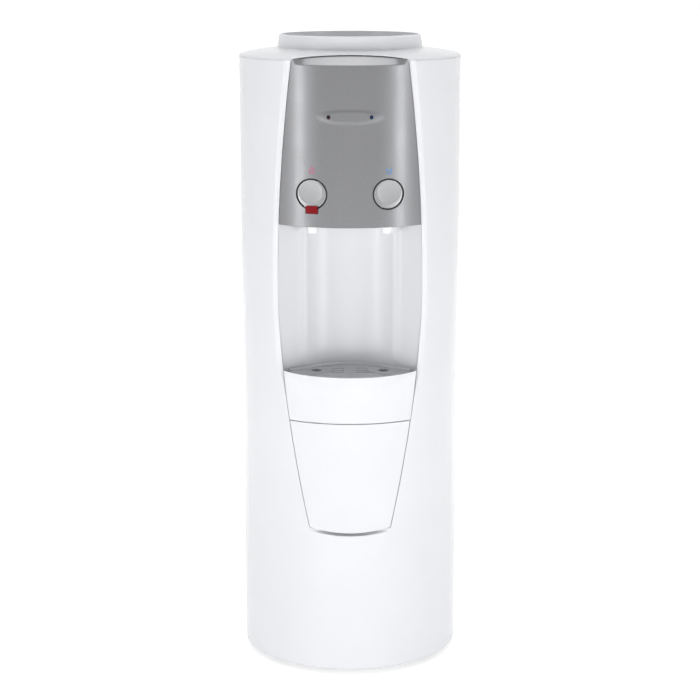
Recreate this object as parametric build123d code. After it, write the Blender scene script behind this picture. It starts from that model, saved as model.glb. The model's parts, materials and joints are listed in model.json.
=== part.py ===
# Free-standing top-loading water cooler: a white column with a shield-shaped front opening that holds
# the control panel, the dispensing niche, the drip tray and the lower panel, one below the other.
# Millimetres, +Z up, the origin on the floor at the middle of the footprint, the front faces -Y.
from build123d import *
from math import sqrt, sin, cos, radians
import os

# ---- cabinet ----
body_r = 155.0          # outer radius of the column
shell_t = 2.5           # cabinet shell wall
foot_h = 6.0            # rubber feet below the base pan
foot_in = 24.9          # from the column's outside to the middle of a foot
pan_flange_t = 2.0      # flange that the shell stands on
pan_wall = 32.0         # height of the base pan's wall
flange_x, flange_t = 58.0, 2.4   # half the opening between the shell's rear flanges, and their thickness
collar_r = 100.0        # bottle collar, outside
collar_top = 889.0      # whole height
collar_wall = 4.5
rim_z = collar_top - 26.0   # shoulder of the top cover
rim_round = 4.0         # radius of that shoulder
dome_rise = 7.0         # from the shoulder up to the collar
cover_t = 3.0           # top cover wall
back_y = body_r - 20.0  # flat back of the column
sheet_t = 1.5           # rear panel sheet
screw_r = 1.9           # rear panel screws
seam = 0.3              # seam between two fixed mouldings
fit_gap = 0.4           # gap round a part that drops into an opening
base_z = foot_h + pan_flange_t
seam_z = rim_z - rim_round

# ---- shield-shaped front opening: half width against height ----
wide_z, wide_w = 548.0, 99.2
low_z, low_w = 208.0, 55.4
high_z, high_w = rim_z - 9.0, 79.2
low_power, high_power = 1.7, 1.9
low_sag = 6.5           # the lower edge bows down in the middle
frame_w = 4.0           # return wall round the opening
frame_depth = 12.0
recess = 4.0            # control panel and niche lie this far inside the column
tray_rim = 434.6        # top edge of the drip tray
fade_low, fade_high = tray_rim - 46.6, tray_rim + 17.4   # the bevel runs out between these heights
fade_skip = 6.0         # the bevel is cut from here up, where it is a tenth of a millimetre deep
panel_gap = 0.6         # visible gap round the drip tray and the lower panel
hook_in, hook_t, hook_out = 7.0, 3.6, 2.4   # the lower panel's snap hooks: arm inside its edge, barb outside
hook_h, hook_barb = 8.0, 3.0

# ---- control panel ----
panel_r = body_r - recess
panel_t = 2.6
panel_z1 = rim_z - 9.5  # front edge of its sloped top
panel_z0 = panel_z1 - 216.5
brow_side, brow_mid = high_w + 1.0, body_r - 15.0   # corner and middle of the top cover's front edge
brow_tuck = 4.0         # the sloped top runs this far in under the cover
boss_z = panel_z1 - 68.0             # pointed indicator boss
boss_w, boss_h, boss_up = 46.6, 10.5, 1.2
lamp_x, lamp_r, lamp_round = 28.2, 3.1, 1.2

# ---- buttons and child lock ----
button_x, button_z = 51.6, panel_z0 + 45.0
bore_r = 21.2           # hole in the control panel
cap_r = 19.9            # push cap
cap_front = 0.6         # cap face inside the panel face
cap_depth = 19.0
dish_depth = 1.6
press = 6.0             # travel of a button
guide_r, guide_gap = 25.0, 0.35
guide_t = 8.0
lock_w, lock_h, lock_t = 16.4, 10.6, 5.0
lock_z = button_z - 21.0  # middle of the red tab
lock_travel = 4.0
run_gap = 0.3           # clearance beside anything that moves

# ---- niche ----
cove_mid, cove_x, cove_y = body_r - 95.0, 61.0, body_r - 66.0   # concave middle, and its side edge
ridge_x, ridge_y = 69.0, body_r - 64.0        # rounded upright beside the cove
wing_slope = 0.767
niche_t = 2.5
niche_floor = tray_rim - 38.6
niche_ceiling = panel_z0 + 13.0

# ---- drip tray and grille ----
tray_split = tray_rim - 68.6   # joint between the tray and the lower panel
lip_reach = body_r + 16.0      # the lip stands out to here
lip_drop = 24.0         # height over which the lip runs back to the column
tray_t = 2.5
tray_floor = niche_floor + run_gap
tray_pull = 0.16
tray_fit = 1.2          # basin inside the walls of the niche
tray_side = 2.5         # basin inside the opening's edges
post_r = 3.0            # posts that carry the grille
grille_t = 3.0
grille_top = tray_rim - 4.6
grille_rib, grille_rib_up = 3.0, 1.2
slot_len, slot_w, slot_pitch, slot_rows = 18.0, 3.2, 12.0, 3
hole_x, hole_y = 46.5, cove_mid + 41.0   # round drain holes of the grille
spout_x, spout_y = 51.0, panel_r - 43.0
drain_hole_r = 8.0

# ---- taps ----
spout_r, spout_bore = 7.0, 4.5
spout_tip = panel_z0 - 12.5
valve_r = 13.0
barb_r, barb_len = 5.5, 16.0    # hose barbs of the valves
valve_y0, valve_y1 = panel_r - 59.0, panel_r - 34.0

# ---- tanks ----
tank_y = 12.0
cold_r, cold_z1 = body_r - 93.0, rim_z - 57.0
cold_z0 = cold_z1 - 138.0
foam_t = 18.0
tank_wall = 1.2
hot_y = 36.0
hot_r, hot_z1 = 42.0, cold_z0 - 68.0
hot_z0 = hot_z1 - 130.0
jacket_t, jacket_gap = 12.0, 3.4    # hot tank's jacket, and the gap that the heater band lies in
neck_r, neck_t = 28.5, 2.5            # socket that takes the bottle neck
shelf_t = 3.0
baffle_up, baffle_t, baffle_pipe_r = 84.0, 2.0, 7.0
bracket_half, bracket_t, bracket_h = 48.0, 2.0, 60.0   # shelf bracket of the hot tank

# ---- switches on the rear panel ----
switch_x, rocker_w = 22.0, 18.0
switch_h, bezel, bezel_t, switch_d = 30.0, 4.0, 2.0, 20.0
pivot_r, pivot_gap = 1.6, 0.08

# ---- fittings on and behind the rear panel ----
drain_x, drain_z, drain_r, drain_out = 44.0, base_z + 44.0, 8.0, 16.0
cap_knurl_r, cap_knurls = 1.4, 12
cord_x, cord_z, cord_r = -46.0, base_z + 40.0, 3.8
box_w, box_d, box_h, box_z0 = 60.0, 38.0, 70.0, base_z + 210.0   # wiring box
rear_screw_x = 67.0
louvre_w, louvre_h, louvre_pitch, louvres = 90.0, 4.0, 11.0, 9
spacer_x, spacer_r0, spacer_r1 = 66.0, 6.5, 9.0

# ---- refrigeration ----
comp_r, comp_y = 56.0, 42.0
comp_z0, comp_z1 = 24.0, 176.0
comp_plate, comp_plate_t = 118.0, 3.0
mount_r, mount_reach, mount_seat = 8.0, 62.0, 5.5   # rubber mounts, their distance from the axis, their bosses
relay_out, relay_w, relay_h = 22.0, 36.0, 36.0
pan_slots, pan_slot_pitch, pan_slot_w, pan_slot_len = 7, 20.0, 6.0, 50.0
cond_r, cond_y = 2.4, back_y + 18.0
cond_w, cond_pitch, cond_rows, cond_z0 = 124.0, 40.0, 13, 190.0
cond_bend = 12.0
bracket_w = 6.0
wire_r, wire_count = 0.8, 11
wire_span = cond_w - 2 * cond_bend - 2 * bracket_w - 12
copper_r = 3.0
coil_turns, coil_pitch = 6, 14.0
suction_x, suction_y = 51.0 - body_r, 60.0   # riser beside the hot tank
line_x, line_y = 53.0, back_y - 23.0   # risers inside the rear panel
cap_line_r = 1.2
hose_r = 5.0
hot_hose_x, hot_hose_y = 59.0 - body_r, -30.0


def drum(r, z0, z1, x=0.0, y=0.0):
    return Pos(x, y, (z0 + z1) / 2) * Cylinder(r, z1 - z0)


def block(x0, x1, y0, y1, z0, z1):
    return Pos((x0 + x1) / 2, (y0 + y1) / 2, (z0 + z1) / 2) * Box(x1 - x0, y1 - y0, z1 - z0)


def rod_y(x, z, r, y0, y1):
    return Pos(x, (y0 + y1) / 2, z) * Rot(90, 0, 0) * Cylinder(r, y1 - y0)


def half_width(z):
    # widest at wide_z, narrowing by a power law above and below it
    if z < wide_z:
        return wide_w - (wide_w - low_w) * ((wide_z - z) / (wide_z - low_z)) ** low_power
    return wide_w - (wide_w - high_w) * ((z - wide_z) / (high_z - wide_z)) ** high_power


def recess_at(z):
    u = min(max((z - fade_low) / (fade_high - fade_low), 0.0), 1.0)
    return recess * u * u * (3 - 2 * u)


def bevel_y(z):
    # depth of the bevel round the opening: level with the recessed face at the opening's edge
    return sqrt((body_r - recess_at(z)) ** 2 - half_width(z) ** 2)


def heights(z0, z1, steps):
    return [z0 + (z1 - z0) * i / steps for i in range(steps + 1)]


def shield(z0, z1, grow=0.0, sag=0.0):
    # the front opening's outline between two heights, carried forward as a prism
    right = [(half_width(z) + grow, 0, z) for z in heights(z0, z1, 12)]
    left = [(-x, y, z) for x, y, z in right]
    foot = ThreePointArc(left[0], (0, 0, z0 - sag), right[0]) if sag else Line(left[0], right[0])
    face = make_face([foot, Spline(right), Line(right[-1], left[-1]), Spline(left[::-1])])
    return extrude(face, amount=lip_reach + 60, dir=(0, -1, 0))


def bevel_slab(z0, z1, near, far):
    # everything between two depths measured back from the bevel
    zs = heights(z0, z1, 16)
    a = [(0, -bevel_y(z) + near, z) for z in zs]
    b = [(0, -bevel_y(z) + far, z) for z in zs]
    face = make_face([Spline(a), Line(a[-1], b[-1]), Spline(b[::-1]), Line(b[0], a[0])])
    return extrude(face, amount=body_r + 20, both=True, dir=(1, 0, 0))


def dome_solid(drop, z0):
    # the column filled from z0 up to the top cover's outer face, lowered by drop
    mid_r = (body_r - rim_round + collar_r) / 2
    k = rim_round * (1 - sqrt(0.5))
    low, shoulder, top = seam_z - 3 * body_r, rim_z - drop, rim_z + dome_rise - drop
    profile = [
        Line((0, 0, low), (body_r, 0, low)),
        Line((body_r, 0, low), (body_r, 0, seam_z - drop)),
        ThreePointArc((body_r, 0, seam_z - drop), (body_r - k, 0, shoulder - k),
                      (body_r - rim_round, 0, shoulder)),
        ThreePointArc((body_r - rim_round, 0, shoulder), (mid_r, 0, shoulder + 0.72 * dome_rise),
                      (collar_r, 0, top)),
        Line((collar_r, 0, top), (0, 0, top)),
        Line((0, 0, top), (0, 0, low)),
    ]
    return revolve(make_face(profile), Axis.Z, 360) & drum(body_r + 10, z0, top + 1)


def cut_back(shape, y):
    return shape - block(-2 * body_r, 2 * body_r, y, y + 2 * body_r, -50, collar_top + 50)


def cabinet_shell():
    top = seam_z - seam
    tube = drum(body_r, base_z, top) - drum(body_r - shell_t, base_z - 1, top + 1)
    tube = cut_back(tube, back_y - sheet_t)
    hold = block(-body_r, body_r, back_y - sheet_t - flange_t, back_y - sheet_t, base_z, top)
    hold &= drum(body_r - shell_t / 2, base_z, top)
    hold -= block(-flange_x, flange_x, 0, body_r, base_z - 1, top + 1)
    for x, z in screw_places():
        hold -= rod_y(x, z, screw_r + 0.1, back_y - 10, back_y)
    opening = shield(low_z + low_sag, top + 20, 0.0, low_sag)
    grown = shield(low_z + low_sag - frame_w, top, frame_w, low_sag)
    rim = grown - opening
    ring = drum(body_r - 0.1, low_z - 20, fade_low + 1) - drum(body_r - frame_depth, low_z - 30, fade_low + 2)
    low_frame = rim & ring
    high_frame = rim & bevel_slab(fade_low, top, 0.0, frame_depth) & drum(body_r - 0.1, fade_low, top)
    front = bevel_slab(fade_low + fade_skip, top + 20, -2 * body_r, 0.0)
    return tube + hold - opening - front + low_frame + high_frame


def top_cover():
    outer = dome_solid(0, seam_z) - drum(collar_r - 1, rim_z + dome_rise - 1, collar_top)
    collar = revolve(make_face([
        Line((0, 0, rim_z), (collar_r + 1.4, 0, rim_z + dome_rise - 1)),
        Line((collar_r + 1.4, 0, rim_z + dome_rise - 1), (collar_r - 0.8, 0, collar_top - 2.5)),
        ThreePointArc((collar_r - 0.8, 0, collar_top - 2.5), (collar_r - 1.6, 0, collar_top - 0.7),
                      (collar_r - 3.3, 0, collar_top)),
        Line((collar_r - 3.3, 0, collar_top), (0, 0, collar_top)),
        Line((0, 0, collar_top), (0, 0, rim_z)),
    ]), Axis.Z, 360)
    inner_r = collar_r - collar_wall
    hollow = dome_solid(cover_t, seam_z - 1) & drum(body_r - cover_t, seam_z - 1, collar_top)
    sleeve = drum(collar_r, seam_z, rim_z + dome_rise)
    shape = outer + collar - hollow + (sleeve & dome_solid(0, seam_z))
    shape -= drum(inner_r, seam_z - 1, collar_top + 1)
    wall = dome_solid(0, seam_z) & block(-body_r, body_r, back_y - cover_t, back_y, seam_z, rim_z + 20)
    wall &= drum(body_r, seam_z, rim_z + 20)
    shape = cut_back(shape + wall, back_y)
    return shape - brow_notch()


def brow_edge(tuck=0.0):
    side_y = sqrt(body_r ** 2 - brow_side ** 2)
    return [(-brow_side, -side_y + tuck, 0), (0, -brow_mid + tuck, 0), (brow_side, -side_y + tuck, 0)]


def brow_notch():
    a, b, c = brow_edge()
    far = -body_r - 30
    face = make_face([ThreePointArc(a, b, c), Line(c, (brow_side, far, 0)),
                      Line((brow_side, far, 0), (-brow_side, far, 0)), Line((-brow_side, far, 0), a)])
    return Pos(0, 0, seam_z - 20) * extrude(face, amount=80, dir=(0, 0, 1))


def slope_face(front, z):
    # a slice of the sloped panel top: a bowed front edge and a straight back edge
    a, b, c = [(x, y, z) for x, y, _ in front]
    back = -brow_mid + 28
    return make_face([ThreePointArc(a, b, c), Line(c, (c[0], back, z)), Line((c[0], back, z), (a[0], back, z)),
                      Line((a[0], back, z), a)])


def control_panel():
    wall = drum(panel_r, panel_z0, panel_z1) - drum(panel_r - panel_t, panel_z0 - 1, panel_z1 + 1)
    wall &= block(-body_r, body_r, -body_r, -80, panel_z0 - 1, panel_z1 + 2)
    w = half_width(panel_z1)
    edge_y = sqrt(panel_r ** 2 - w ** 2)
    low = slope_face([(-w, -edge_y, 0), (0, -panel_r, 0), (w, -edge_y, 0)], panel_z1)
    high_z = rim_z + dome_rise
    high = slope_face([(-w, -edge_y + 1.5, 0), (0, -brow_mid + brow_tuck, 0), (w, -edge_y + 1.5, 0)], high_z)
    slope = loft([low, high], ruled=True) & dome_solid(cover_t + fit_gap, panel_z1 - 1)
    eye = make_face([ThreePointArc((-boss_w, 0, boss_z), (0, 0, boss_z + boss_h), (boss_w, 0, boss_z)),
                     ThreePointArc((boss_w, 0, boss_z), (0, 0, boss_z - boss_h), (-boss_w, 0, boss_z))])
    boss = extrude(eye, amount=body_r + 20, dir=(0, -1, 0))
    boss &= drum(panel_r + boss_up, boss_z - 30, boss_z + 30) - drum(panel_r - 1, boss_z - 31, boss_z + 31)
    panel = (wall + slope + boss) & shield(panel_z0 - 1, high_z + 5, -fit_gap)
    for side in (-1, 1):
        panel -= rod_y(side * button_x, button_z, bore_r, -body_r - 20, -90)
        panel -= rod_y(side * lamp_x, boss_z, lamp_r + 0.1, -body_r - 20, -120)
    return panel - lock_slot()


def lock_slot():
    # relief in the panel below the hot button, where the red tab travels with the button
    half = lock_w / 2 + run_gap
    low = lock_z - lock_h / 2 - run_gap
    slot = block(-half, half, -body_r - 20, -110, low, button_z - bore_r + 4)
    return Pos(-button_x, 0, 0) * slot


def button_cap(side):
    x = side * button_x
    cap = rod_y(x, button_z, cap_r, -body_r - 10, -panel_r + cap_depth)
    face_y = -sqrt(panel_r ** 2 - button_x ** 2) + cap_front
    cap &= drum(panel_r - cap_front, button_z - 40, button_z + 40)
    dish_r = (cap_r ** 2 * 0.72 + dish_depth ** 2) / (2 * dish_depth)
    cap -= Pos(x - side * 1.5, face_y - dish_r + dish_depth - 1.0, button_z + 1.2) * Sphere(dish_r)
    stem = rod_y(x, button_z, 5.0, -panel_r + cap_depth - 1, -valve_y1 - press - 1.0)
    ribs = [Rot(0, a, 0) * block(-0.8, 0.8, face_y + 1.6, -panel_r + cap_depth, cap_r - 1, cap_r + 0.9)
            for a in (28, 208)]
    ribs = Pos(x, 0, button_z) * (ribs[0] + ribs[1])
    cap = cap + stem + (ribs & drum(panel_r - cap_front, button_z - 40, button_z + 40))
    if side < 0:
        half = lock_w / 2 + 0.2
        notch = block(-half, half, -body_r, -panel_r + cap_depth - 4, lock_z - lock_h,
                      lock_z + lock_h / 2 + lock_travel + 0.4)
        cap -= Pos(-button_x, 0, 0) * notch
    return cap


def child_lock():
    front = drum(panel_r + 1.5, lock_z - 20, lock_z + 20)
    tab = block(-lock_w / 2, lock_w / 2, -body_r - 5, -panel_r + cap_depth - 4.4, lock_z - lock_h / 2,
                lock_z + lock_h / 2)
    tab = (Pos(-button_x, 0, 0) * tab) & front
    keep = rod_y(-button_x, lock_z, lock_w / 2 + 0.6, -body_r - 5, -panel_r + cap_depth)
    return tab & keep


def niche_plan(grow=0.0):
    # plan of the niche: concave middle, a rounded upright each side, then a wing out to the opening
    far_x = wide_w + 14
    wing_y = ridge_y + (far_x - ridge_x) * wing_slope
    right = [(cove_x, -cove_y), (ridge_x, -ridge_y), (far_x, -wing_y), (far_x, -lip_reach - 40)]
    left = [(-x, y) for x, y in right[::-1]]
    lines = Polyline(*right), Line(right[-1], left[0]), Polyline(*left)
    cove = ThreePointArc(left[-1], (0, -cove_mid), right[0])
    plan = make_face([*lines, cove])
    return offset(plan, amount=grow) if grow else plan


def niche_prism(z0, z1, grow=0.0):
    return Pos(0, 0, z0) * extrude(niche_plan(grow), amount=z1 - z0, dir=(0, 0, 1))


def soften(shape, r):
    # round the four uprights of the niche
    near = [e for e in shape.edges().filter_by(Axis.Z)
            if abs(abs(e.center().X) - ridge_x) < 6 or abs(abs(e.center().X) - cove_x) < 4]
    return fillet(near, r)


def alcove_liner():
    z0, z1 = niche_floor - niche_t, niche_ceiling + niche_t
    room = soften(niche_prism(niche_floor, niche_ceiling), 3.0)
    shell = soften(niche_prism(z0, z1, niche_t), 4.0) - room
    shell &= shield(z0 - 1, z1 + 1, -fit_gap)
    shell &= drum(body_r - frame_depth, z0 - 1, tray_rim) + \
        (bevel_slab(tray_rim - 1, panel_z0 - 1, 0.0, 2 * body_r) & drum(body_r, z0, z1)) + \
        drum(panel_r - panel_t - fit_gap, panel_z0 - 2, z1 + 1)
    for side in (-1, 1):
        shell -= drum(spout_r + fit_gap, niche_ceiling - 1, z1 + 1, side * spout_x, -spout_y)
    shell -= drum(6.0, z0 - 1, niche_floor + 1, 0, -cove_mid - 30)
    return shell


def lip_circle():
    # plan circle of the tray's rim: through the opening's edges and out to lip_reach
    w = half_width(tray_rim)
    edge = sqrt(body_r ** 2 - w ** 2)
    centre = (lip_reach ** 2 - w ** 2 - edge ** 2) / (2 * (lip_reach - edge))
    return centre, lip_reach - centre


def tray_envelope(inset, z0):
    # the column's own wall below and the lip's cone above, both set in by inset
    centre, r = lip_circle()
    run = lip_reach - body_r
    cone = Pos(0, -centre, tray_rim - lip_drop / 2) * Cone(r - run - inset, r - inset, lip_drop)
    return drum(body_r - inset, z0, tray_rim) + cone


def drip_tray():
    opening = shield(low_z, wide_z, -panel_gap)
    cover = block(-body_r, body_r, -2 * body_r, -bevel_y(tray_split) + 1, tray_split + panel_gap, tray_rim + 1)
    skin = (tray_envelope(0, tray_split) - tray_envelope(tray_t, tray_split - 1)) & opening & cover
    lip_in = tray_envelope(tray_t, niche_floor)
    plan = niche_prism(tray_floor, tray_rim, -tray_fit) & tray_envelope(0, niche_floor) & opening
    limit = half_width(tray_floor) - tray_side
    plan &= block(-limit, limit, -2 * body_r, 0, 0, rim_z)
    well = niche_prism(tray_floor + tray_t, tray_rim + 1, -tray_fit - tray_t) & lip_in
    well &= block(-limit + tray_t, limit - tray_t, -2 * body_r, 0, 0, rim_z)
    tray = skin + (plan - well)
    for x, y in grille_posts():
        tray += drum(post_r, tray_floor + 1, grille_top - grille_t, x, y)
    return tray


def grille_posts():
    back, middle, front = -cove_mid - 12, -cove_mid - 40, -cove_mid - 80
    return [(-cove_x - 1, middle), (cove_x + 1, middle), (-cove_x / 2, front), (cove_x / 2, front), (0, back)]


def tray_grille():
    limit = half_width(tray_floor) - tray_side - tray_t - run_gap
    low = grille_top - grille_t + run_gap
    plate = niche_prism(low, grille_top, -tray_fit - tray_t - run_gap)
    plate &= tray_envelope(tray_t + run_gap, niche_floor)
    plate &= block(-limit, limit, -2 * body_r, 0, low, grille_top)
    half, z0, z1 = grille_rib / 2, grille_top - 1, grille_top + grille_rib_up
    plate += block(-half, half, -cove_mid - 80, -cove_mid - 6, z0, z1)
    for side in (-1, 1):
        corner = Pos(side * 40, -cove_mid - 62, 0) * Rot(0, 0, side * 52)
        plate += corner * block(-half, half, -20, 20, z0, z1)
    for side in (-1, 1):
        plate -= drum(drain_hole_r, low - 1, grille_top + 3, side * hole_x, -hole_y)
        plate -= Pos(side * 34, -cove_mid - 17, grille_top) * Box(slot_len - 2, slot_w, 4 * grille_t)
        for i in range(slot_rows):
            y = -cove_mid - 32 - slot_pitch * i
            plate -= Pos(side * 17, y, grille_top) * Box(slot_len, slot_w, 4 * grille_t)
    return plate


def lower_panel():
    opening = shield(low_z + low_sag, tray_split, -panel_gap, low_sag)
    skin = drum(body_r, low_z - 20, tray_split) - drum(body_r - shell_t, low_z - 21, tray_split + 1)
    skin &= Pos(0, 0, panel_gap) * shield(low_z + low_sag, tray_split + 5, -panel_gap, low_sag)
    skin &= opening + block(-body_r, body_r, -2 * body_r, 0, low_z + 30, tray_split)
    for z in (low_z + 40, tray_split - 30):
        for side in (-1, 1):
            skin += snap_hook(side, z)
    return skin


def snap_hook(side, z):
    # an arm behind the panel's edge with a barb that catches behind the frame
    behind = body_r - frame_depth - run_gap
    w, half = half_width(z), hook_h / 2
    x0, x1, x2 = w - hook_in, w - hook_in + hook_t, w + hook_out
    arm = block(x0, x1, -body_r, 0, z - half, z + half) & (drum(body_r - 0.6, z - hook_h, z + hook_h))
    barb = block(x0, x2, -body_r, 0, z - half, z + half) & drum(behind, z - hook_h, z + hook_h)
    hook = (arm + barb) - drum(behind - hook_barb, z - hook_h, z + hook_h)
    return hook if side > 0 else mirror(hook, about=Plane.YZ)


def base_pan():
    wall_r = body_r - shell_t - fit_gap
    pan = drum(body_r - 1.5, foot_h, base_z) + drum(wall_r, base_z - 0.5, base_z + pan_wall)
    pan -= drum(wall_r - 3, base_z + 1.5, base_z + pan_wall + 8)
    inner_y = back_y - sheet_t - 3.2
    pan = cut_back(pan, inner_y)
    rear = block(-flange_x, flange_x, inner_y - 3, inner_y, base_z, base_z + pan_wall)
    pan += rear & drum(wall_r, base_z - 1, base_z + pan_wall)
    for x, y in mount_places():
        pan += drum(mount_r + 1, base_z, base_z + mount_seat, x, y)
    for i in range(pan_slots):
        x = (i - (pan_slots - 1) / 2) * pan_slot_pitch
        pan -= Pos(x, comp_y - 2 * comp_r, foot_h) * Box(pan_slot_w, pan_slot_len, 20)
    return pan


def foot_places():
    reach = (body_r - foot_in) * sqrt(0.5)
    return [(x, y) for x in (-reach, reach) for y in (-reach, reach)]


def rubber_feet():
    feet = []
    for x, y in foot_places():
        pad = Pos(x, y, foot_h / 2) * Cone(13.0, 15.0, foot_h)
        feet.append(pad)
    return feet


def rear_panel():
    half = sqrt(body_r ** 2 - (back_y - sheet_t) ** 2) - 0.6
    sheet = block(-half, half, back_y - sheet_t, back_y, base_z + 1, seam_z - seam)
    sheet &= drum(body_r, base_z, seam_z)
    for i in range(louvres):
        for z in (base_z + 80, seam_z - 170):
            sheet -= Pos(0, back_y, z + louvre_pitch * i) * Box(louvre_w, 10, louvre_h)
    for x in (-switch_x, switch_x):
        sheet -= Pos(x, back_y, switch_z()) * Box(rocker_w + bezel + 0.6, 10, switch_h + 0.6)
    sheet -= rod_y(drain_x, drain_z, drain_r + 1.2, back_y - 10, back_y + 10)
    sheet -= rod_y(cord_x, cord_z, 8.2, back_y - 10, back_y + 10)
    for x, z in ((-line_x, cond_z0), (line_x, cond_top())):
        sheet -= rod_y(x, z, cond_r + 0.5, back_y - 10, back_y + 10)
    for x, z in screw_places():
        sheet -= rod_y(x, z, screw_r + 0.2, back_y - 10, back_y + 10)
    return sheet


def switch_z():
    return seam_z - 36


def screw_places():
    rows = (base_z + 14, base_z + 290, base_z + 570, seam_z - 14)
    return [(x, z) for x in (-rear_screw_x, rear_screw_x) for z in rows]


def rear_screws():
    out = []
    for x, z in screw_places():
        head = rod_y(x, z, 2 * screw_r, back_y, back_y + 2.2)
        out.append(head + rod_y(x, z, screw_r, back_y - 8, back_y + 0.5))
    return out


def bottle_seat():
    inner_r = collar_r - collar_wall - run_gap
    top = collar_top - 10
    ledge = seat_ledge_z()
    profile = Polyline((inner_r, 0, top), (inner_r, 0, ledge), (inner_r - 3, 0, ledge),
                       (neck_r + neck_t, 0, ledge - 34), (neck_r + neck_t, 0, socket_z0()),
                       (neck_r, 0, socket_z0()), (neck_r, 0, ledge - 32.6), (inner_r - 5.5, 0, ledge + 4),
                       (inner_r - 3, 0, top), (inner_r, 0, top))
    return revolve(make_face(profile), Axis.Z, 360)


def seat_ledge_z():
    return rim_z - 4.0


def socket_z0():
    return cold_z1 + 2.0


def seat_ring():
    # ring under the collar that the bottle seat rests on
    inner_r = collar_r - collar_wall
    low = seat_ledge_z() - 3 - run_gap
    ring = drum(collar_r + 1, low, seat_ledge_z() - run_gap) - drum(inner_r - 3, low - 1, rim_z)
    tie = drum(collar_r + 1, low, rim_z + dome_rise - 1) - drum(inner_r + 0.01, low - 1, rim_z + 20)
    return ring + tie


def feed_probe():
    z0, z1 = socket_z0() + 2, seat_ledge_z() - 6
    plate = drum(neck_r - 0.05, z0, z0 + 3) - drum(7, z0 - 1, z0 + 4)
    for angle in range(0, 360, 60):
        plate -= Pos(19 * cos(radians(angle)), 19 * sin(radians(angle)), z0) * Cylinder(3.5, 10)
    stem = drum(9, z0, z1) - drum(6.5, z0 - 1, z1 - 6)
    tip = Pos(0, 0, z1 + 4) * Cone(9, 2.5, 8)
    bore = Rot(0, 90, 0) * Cylinder(3, 30) + Rot(90, 0, 0) * Cylinder(3, 30)
    holes = Pos(0, 0, z1 - 12) * bore
    return plate + (stem - holes) + tip


def cold_tank():
    outer = drum(cold_r, cold_z0, cold_z1)
    outer = fillet(outer.edges().group_by(Axis.Z)[0], 14)
    inner = drum(cold_r - tank_wall, cold_z0 + tank_wall, cold_z1 + 1)
    inner = fillet(inner.edges().group_by(Axis.Z)[0], 12.8)
    return Pos(0, tank_y, 0) * (outer - inner)


def tank_port(x, y, z, r, reach):
    # a straight radial line from (x, y) to reach from the cold tank's axis, and its far end
    dx, dy = -x, tank_y - y
    length = sqrt(dx * dx + dy * dy)
    k = (length - reach) / length
    return x + dx * k, y + dy * k, z


def foam_jacket():
    low = cold_z0 - foam_t + 3
    outer = drum(cold_r + foam_t, low, cold_z1)
    inner = drum(cold_r + 2 * copper_r + 1.6, cold_z0 - run_gap, cold_z1 + 1)
    jacket = Pos(0, tank_y, 0) * (outer - inner)
    jacket -= drum(hose_r + 1.5, low - 1, cold_z0, 0, tank_y)
    ports = (cold_port_start(), hose_r), (suction_turn(), copper_r), (capillary_turn(), cap_line_r)
    for (x, y, z), r in ports:
        ex, ey, _ = tank_port(x, y, z, r, cold_r)
        jacket -= tube_path_straight((x, y, z), (ex, ey, z), r + 1.0)
    return jacket


def tube_path_straight(a, b, r):
    line = Line(a, b)
    return sweep(Plane(origin=a, z_dir=line % 0) * Circle(r), path=line)


def cold_port_start():
    return spout_x, -valve_y0 + 28, button_z


def suction_turn():
    return suction_x, suction_y, coil_z0()


def capillary_turn():
    return -line_x, line_y, coil_z0() + (coil_turns - 1) * coil_pitch


def coil_z0():
    return cold_z0 + 34


def tank_cover():
    low = cold_z1 + 0.3
    lid = drum(cold_r + foam_t, low, low + 1.2, 0, tank_y)
    return lid - drum(neck_r - 4, low - 1, low + 5)


def evaporator_coil():
    turns = []
    r = cold_r + copper_r + 0.3
    for i in range(coil_turns):
        turns.append(Pos(0, tank_y, coil_z0() + coil_pitch * i) * Torus(r, copper_r))
    return turns


def cold_baffle():
    z = cold_z0 + baffle_up
    disc = drum(cold_r - tank_wall - 0.5, z, z + baffle_t, 0, tank_y)
    reach = cold_r - 16
    for angle in range(0, 360, 45):
        disc -= Pos(reach * cos(radians(angle)), tank_y + reach * sin(radians(angle)), z) * Cylinder(4, 10)
    pipe = drum(baffle_pipe_r, cold_z0 + 16, z + 1, 0, tank_y)
    pipe -= drum(baffle_pipe_r - 1.6, cold_z0, z + 5, 0, tank_y)
    return disc + pipe


def hot_tank():
    outer = drum(hot_r, hot_z0, hot_z1)
    outer = fillet(outer.edges().filter_by(GeomType.CIRCLE), 9)
    inner = drum(hot_r - tank_wall, hot_z0 + tank_wall, hot_z1 - tank_wall)
    inner = fillet(inner.edges().filter_by(GeomType.CIRCLE), 7.8)
    return Pos(0, hot_y, 0) * (outer - inner)


def hot_jacket():
    r0 = hot_r + jacket_gap
    sleeve = drum(r0 + jacket_t, hot_z0 + 22, hot_z1 - 6) - drum(r0, hot_z0, hot_z1)
    return Pos(0, hot_y, 0) * sleeve


def heater_band():
    z = hot_z0 + 30
    band = drum(hot_r + 3.0, z, z + 34) - drum(hot_r + 0.1, z - 1, z + 35)
    return Pos(0, hot_y, 0) * band


def thermostats():
    out = []
    for x in (5, 24):
        out.append(drum(8, hot_z1 + 0.1, hot_z1 + 6, x, hot_y) + Pos(x, hot_y, hot_z1 + 8) * Box(14, 4, 6))
    return out


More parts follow.
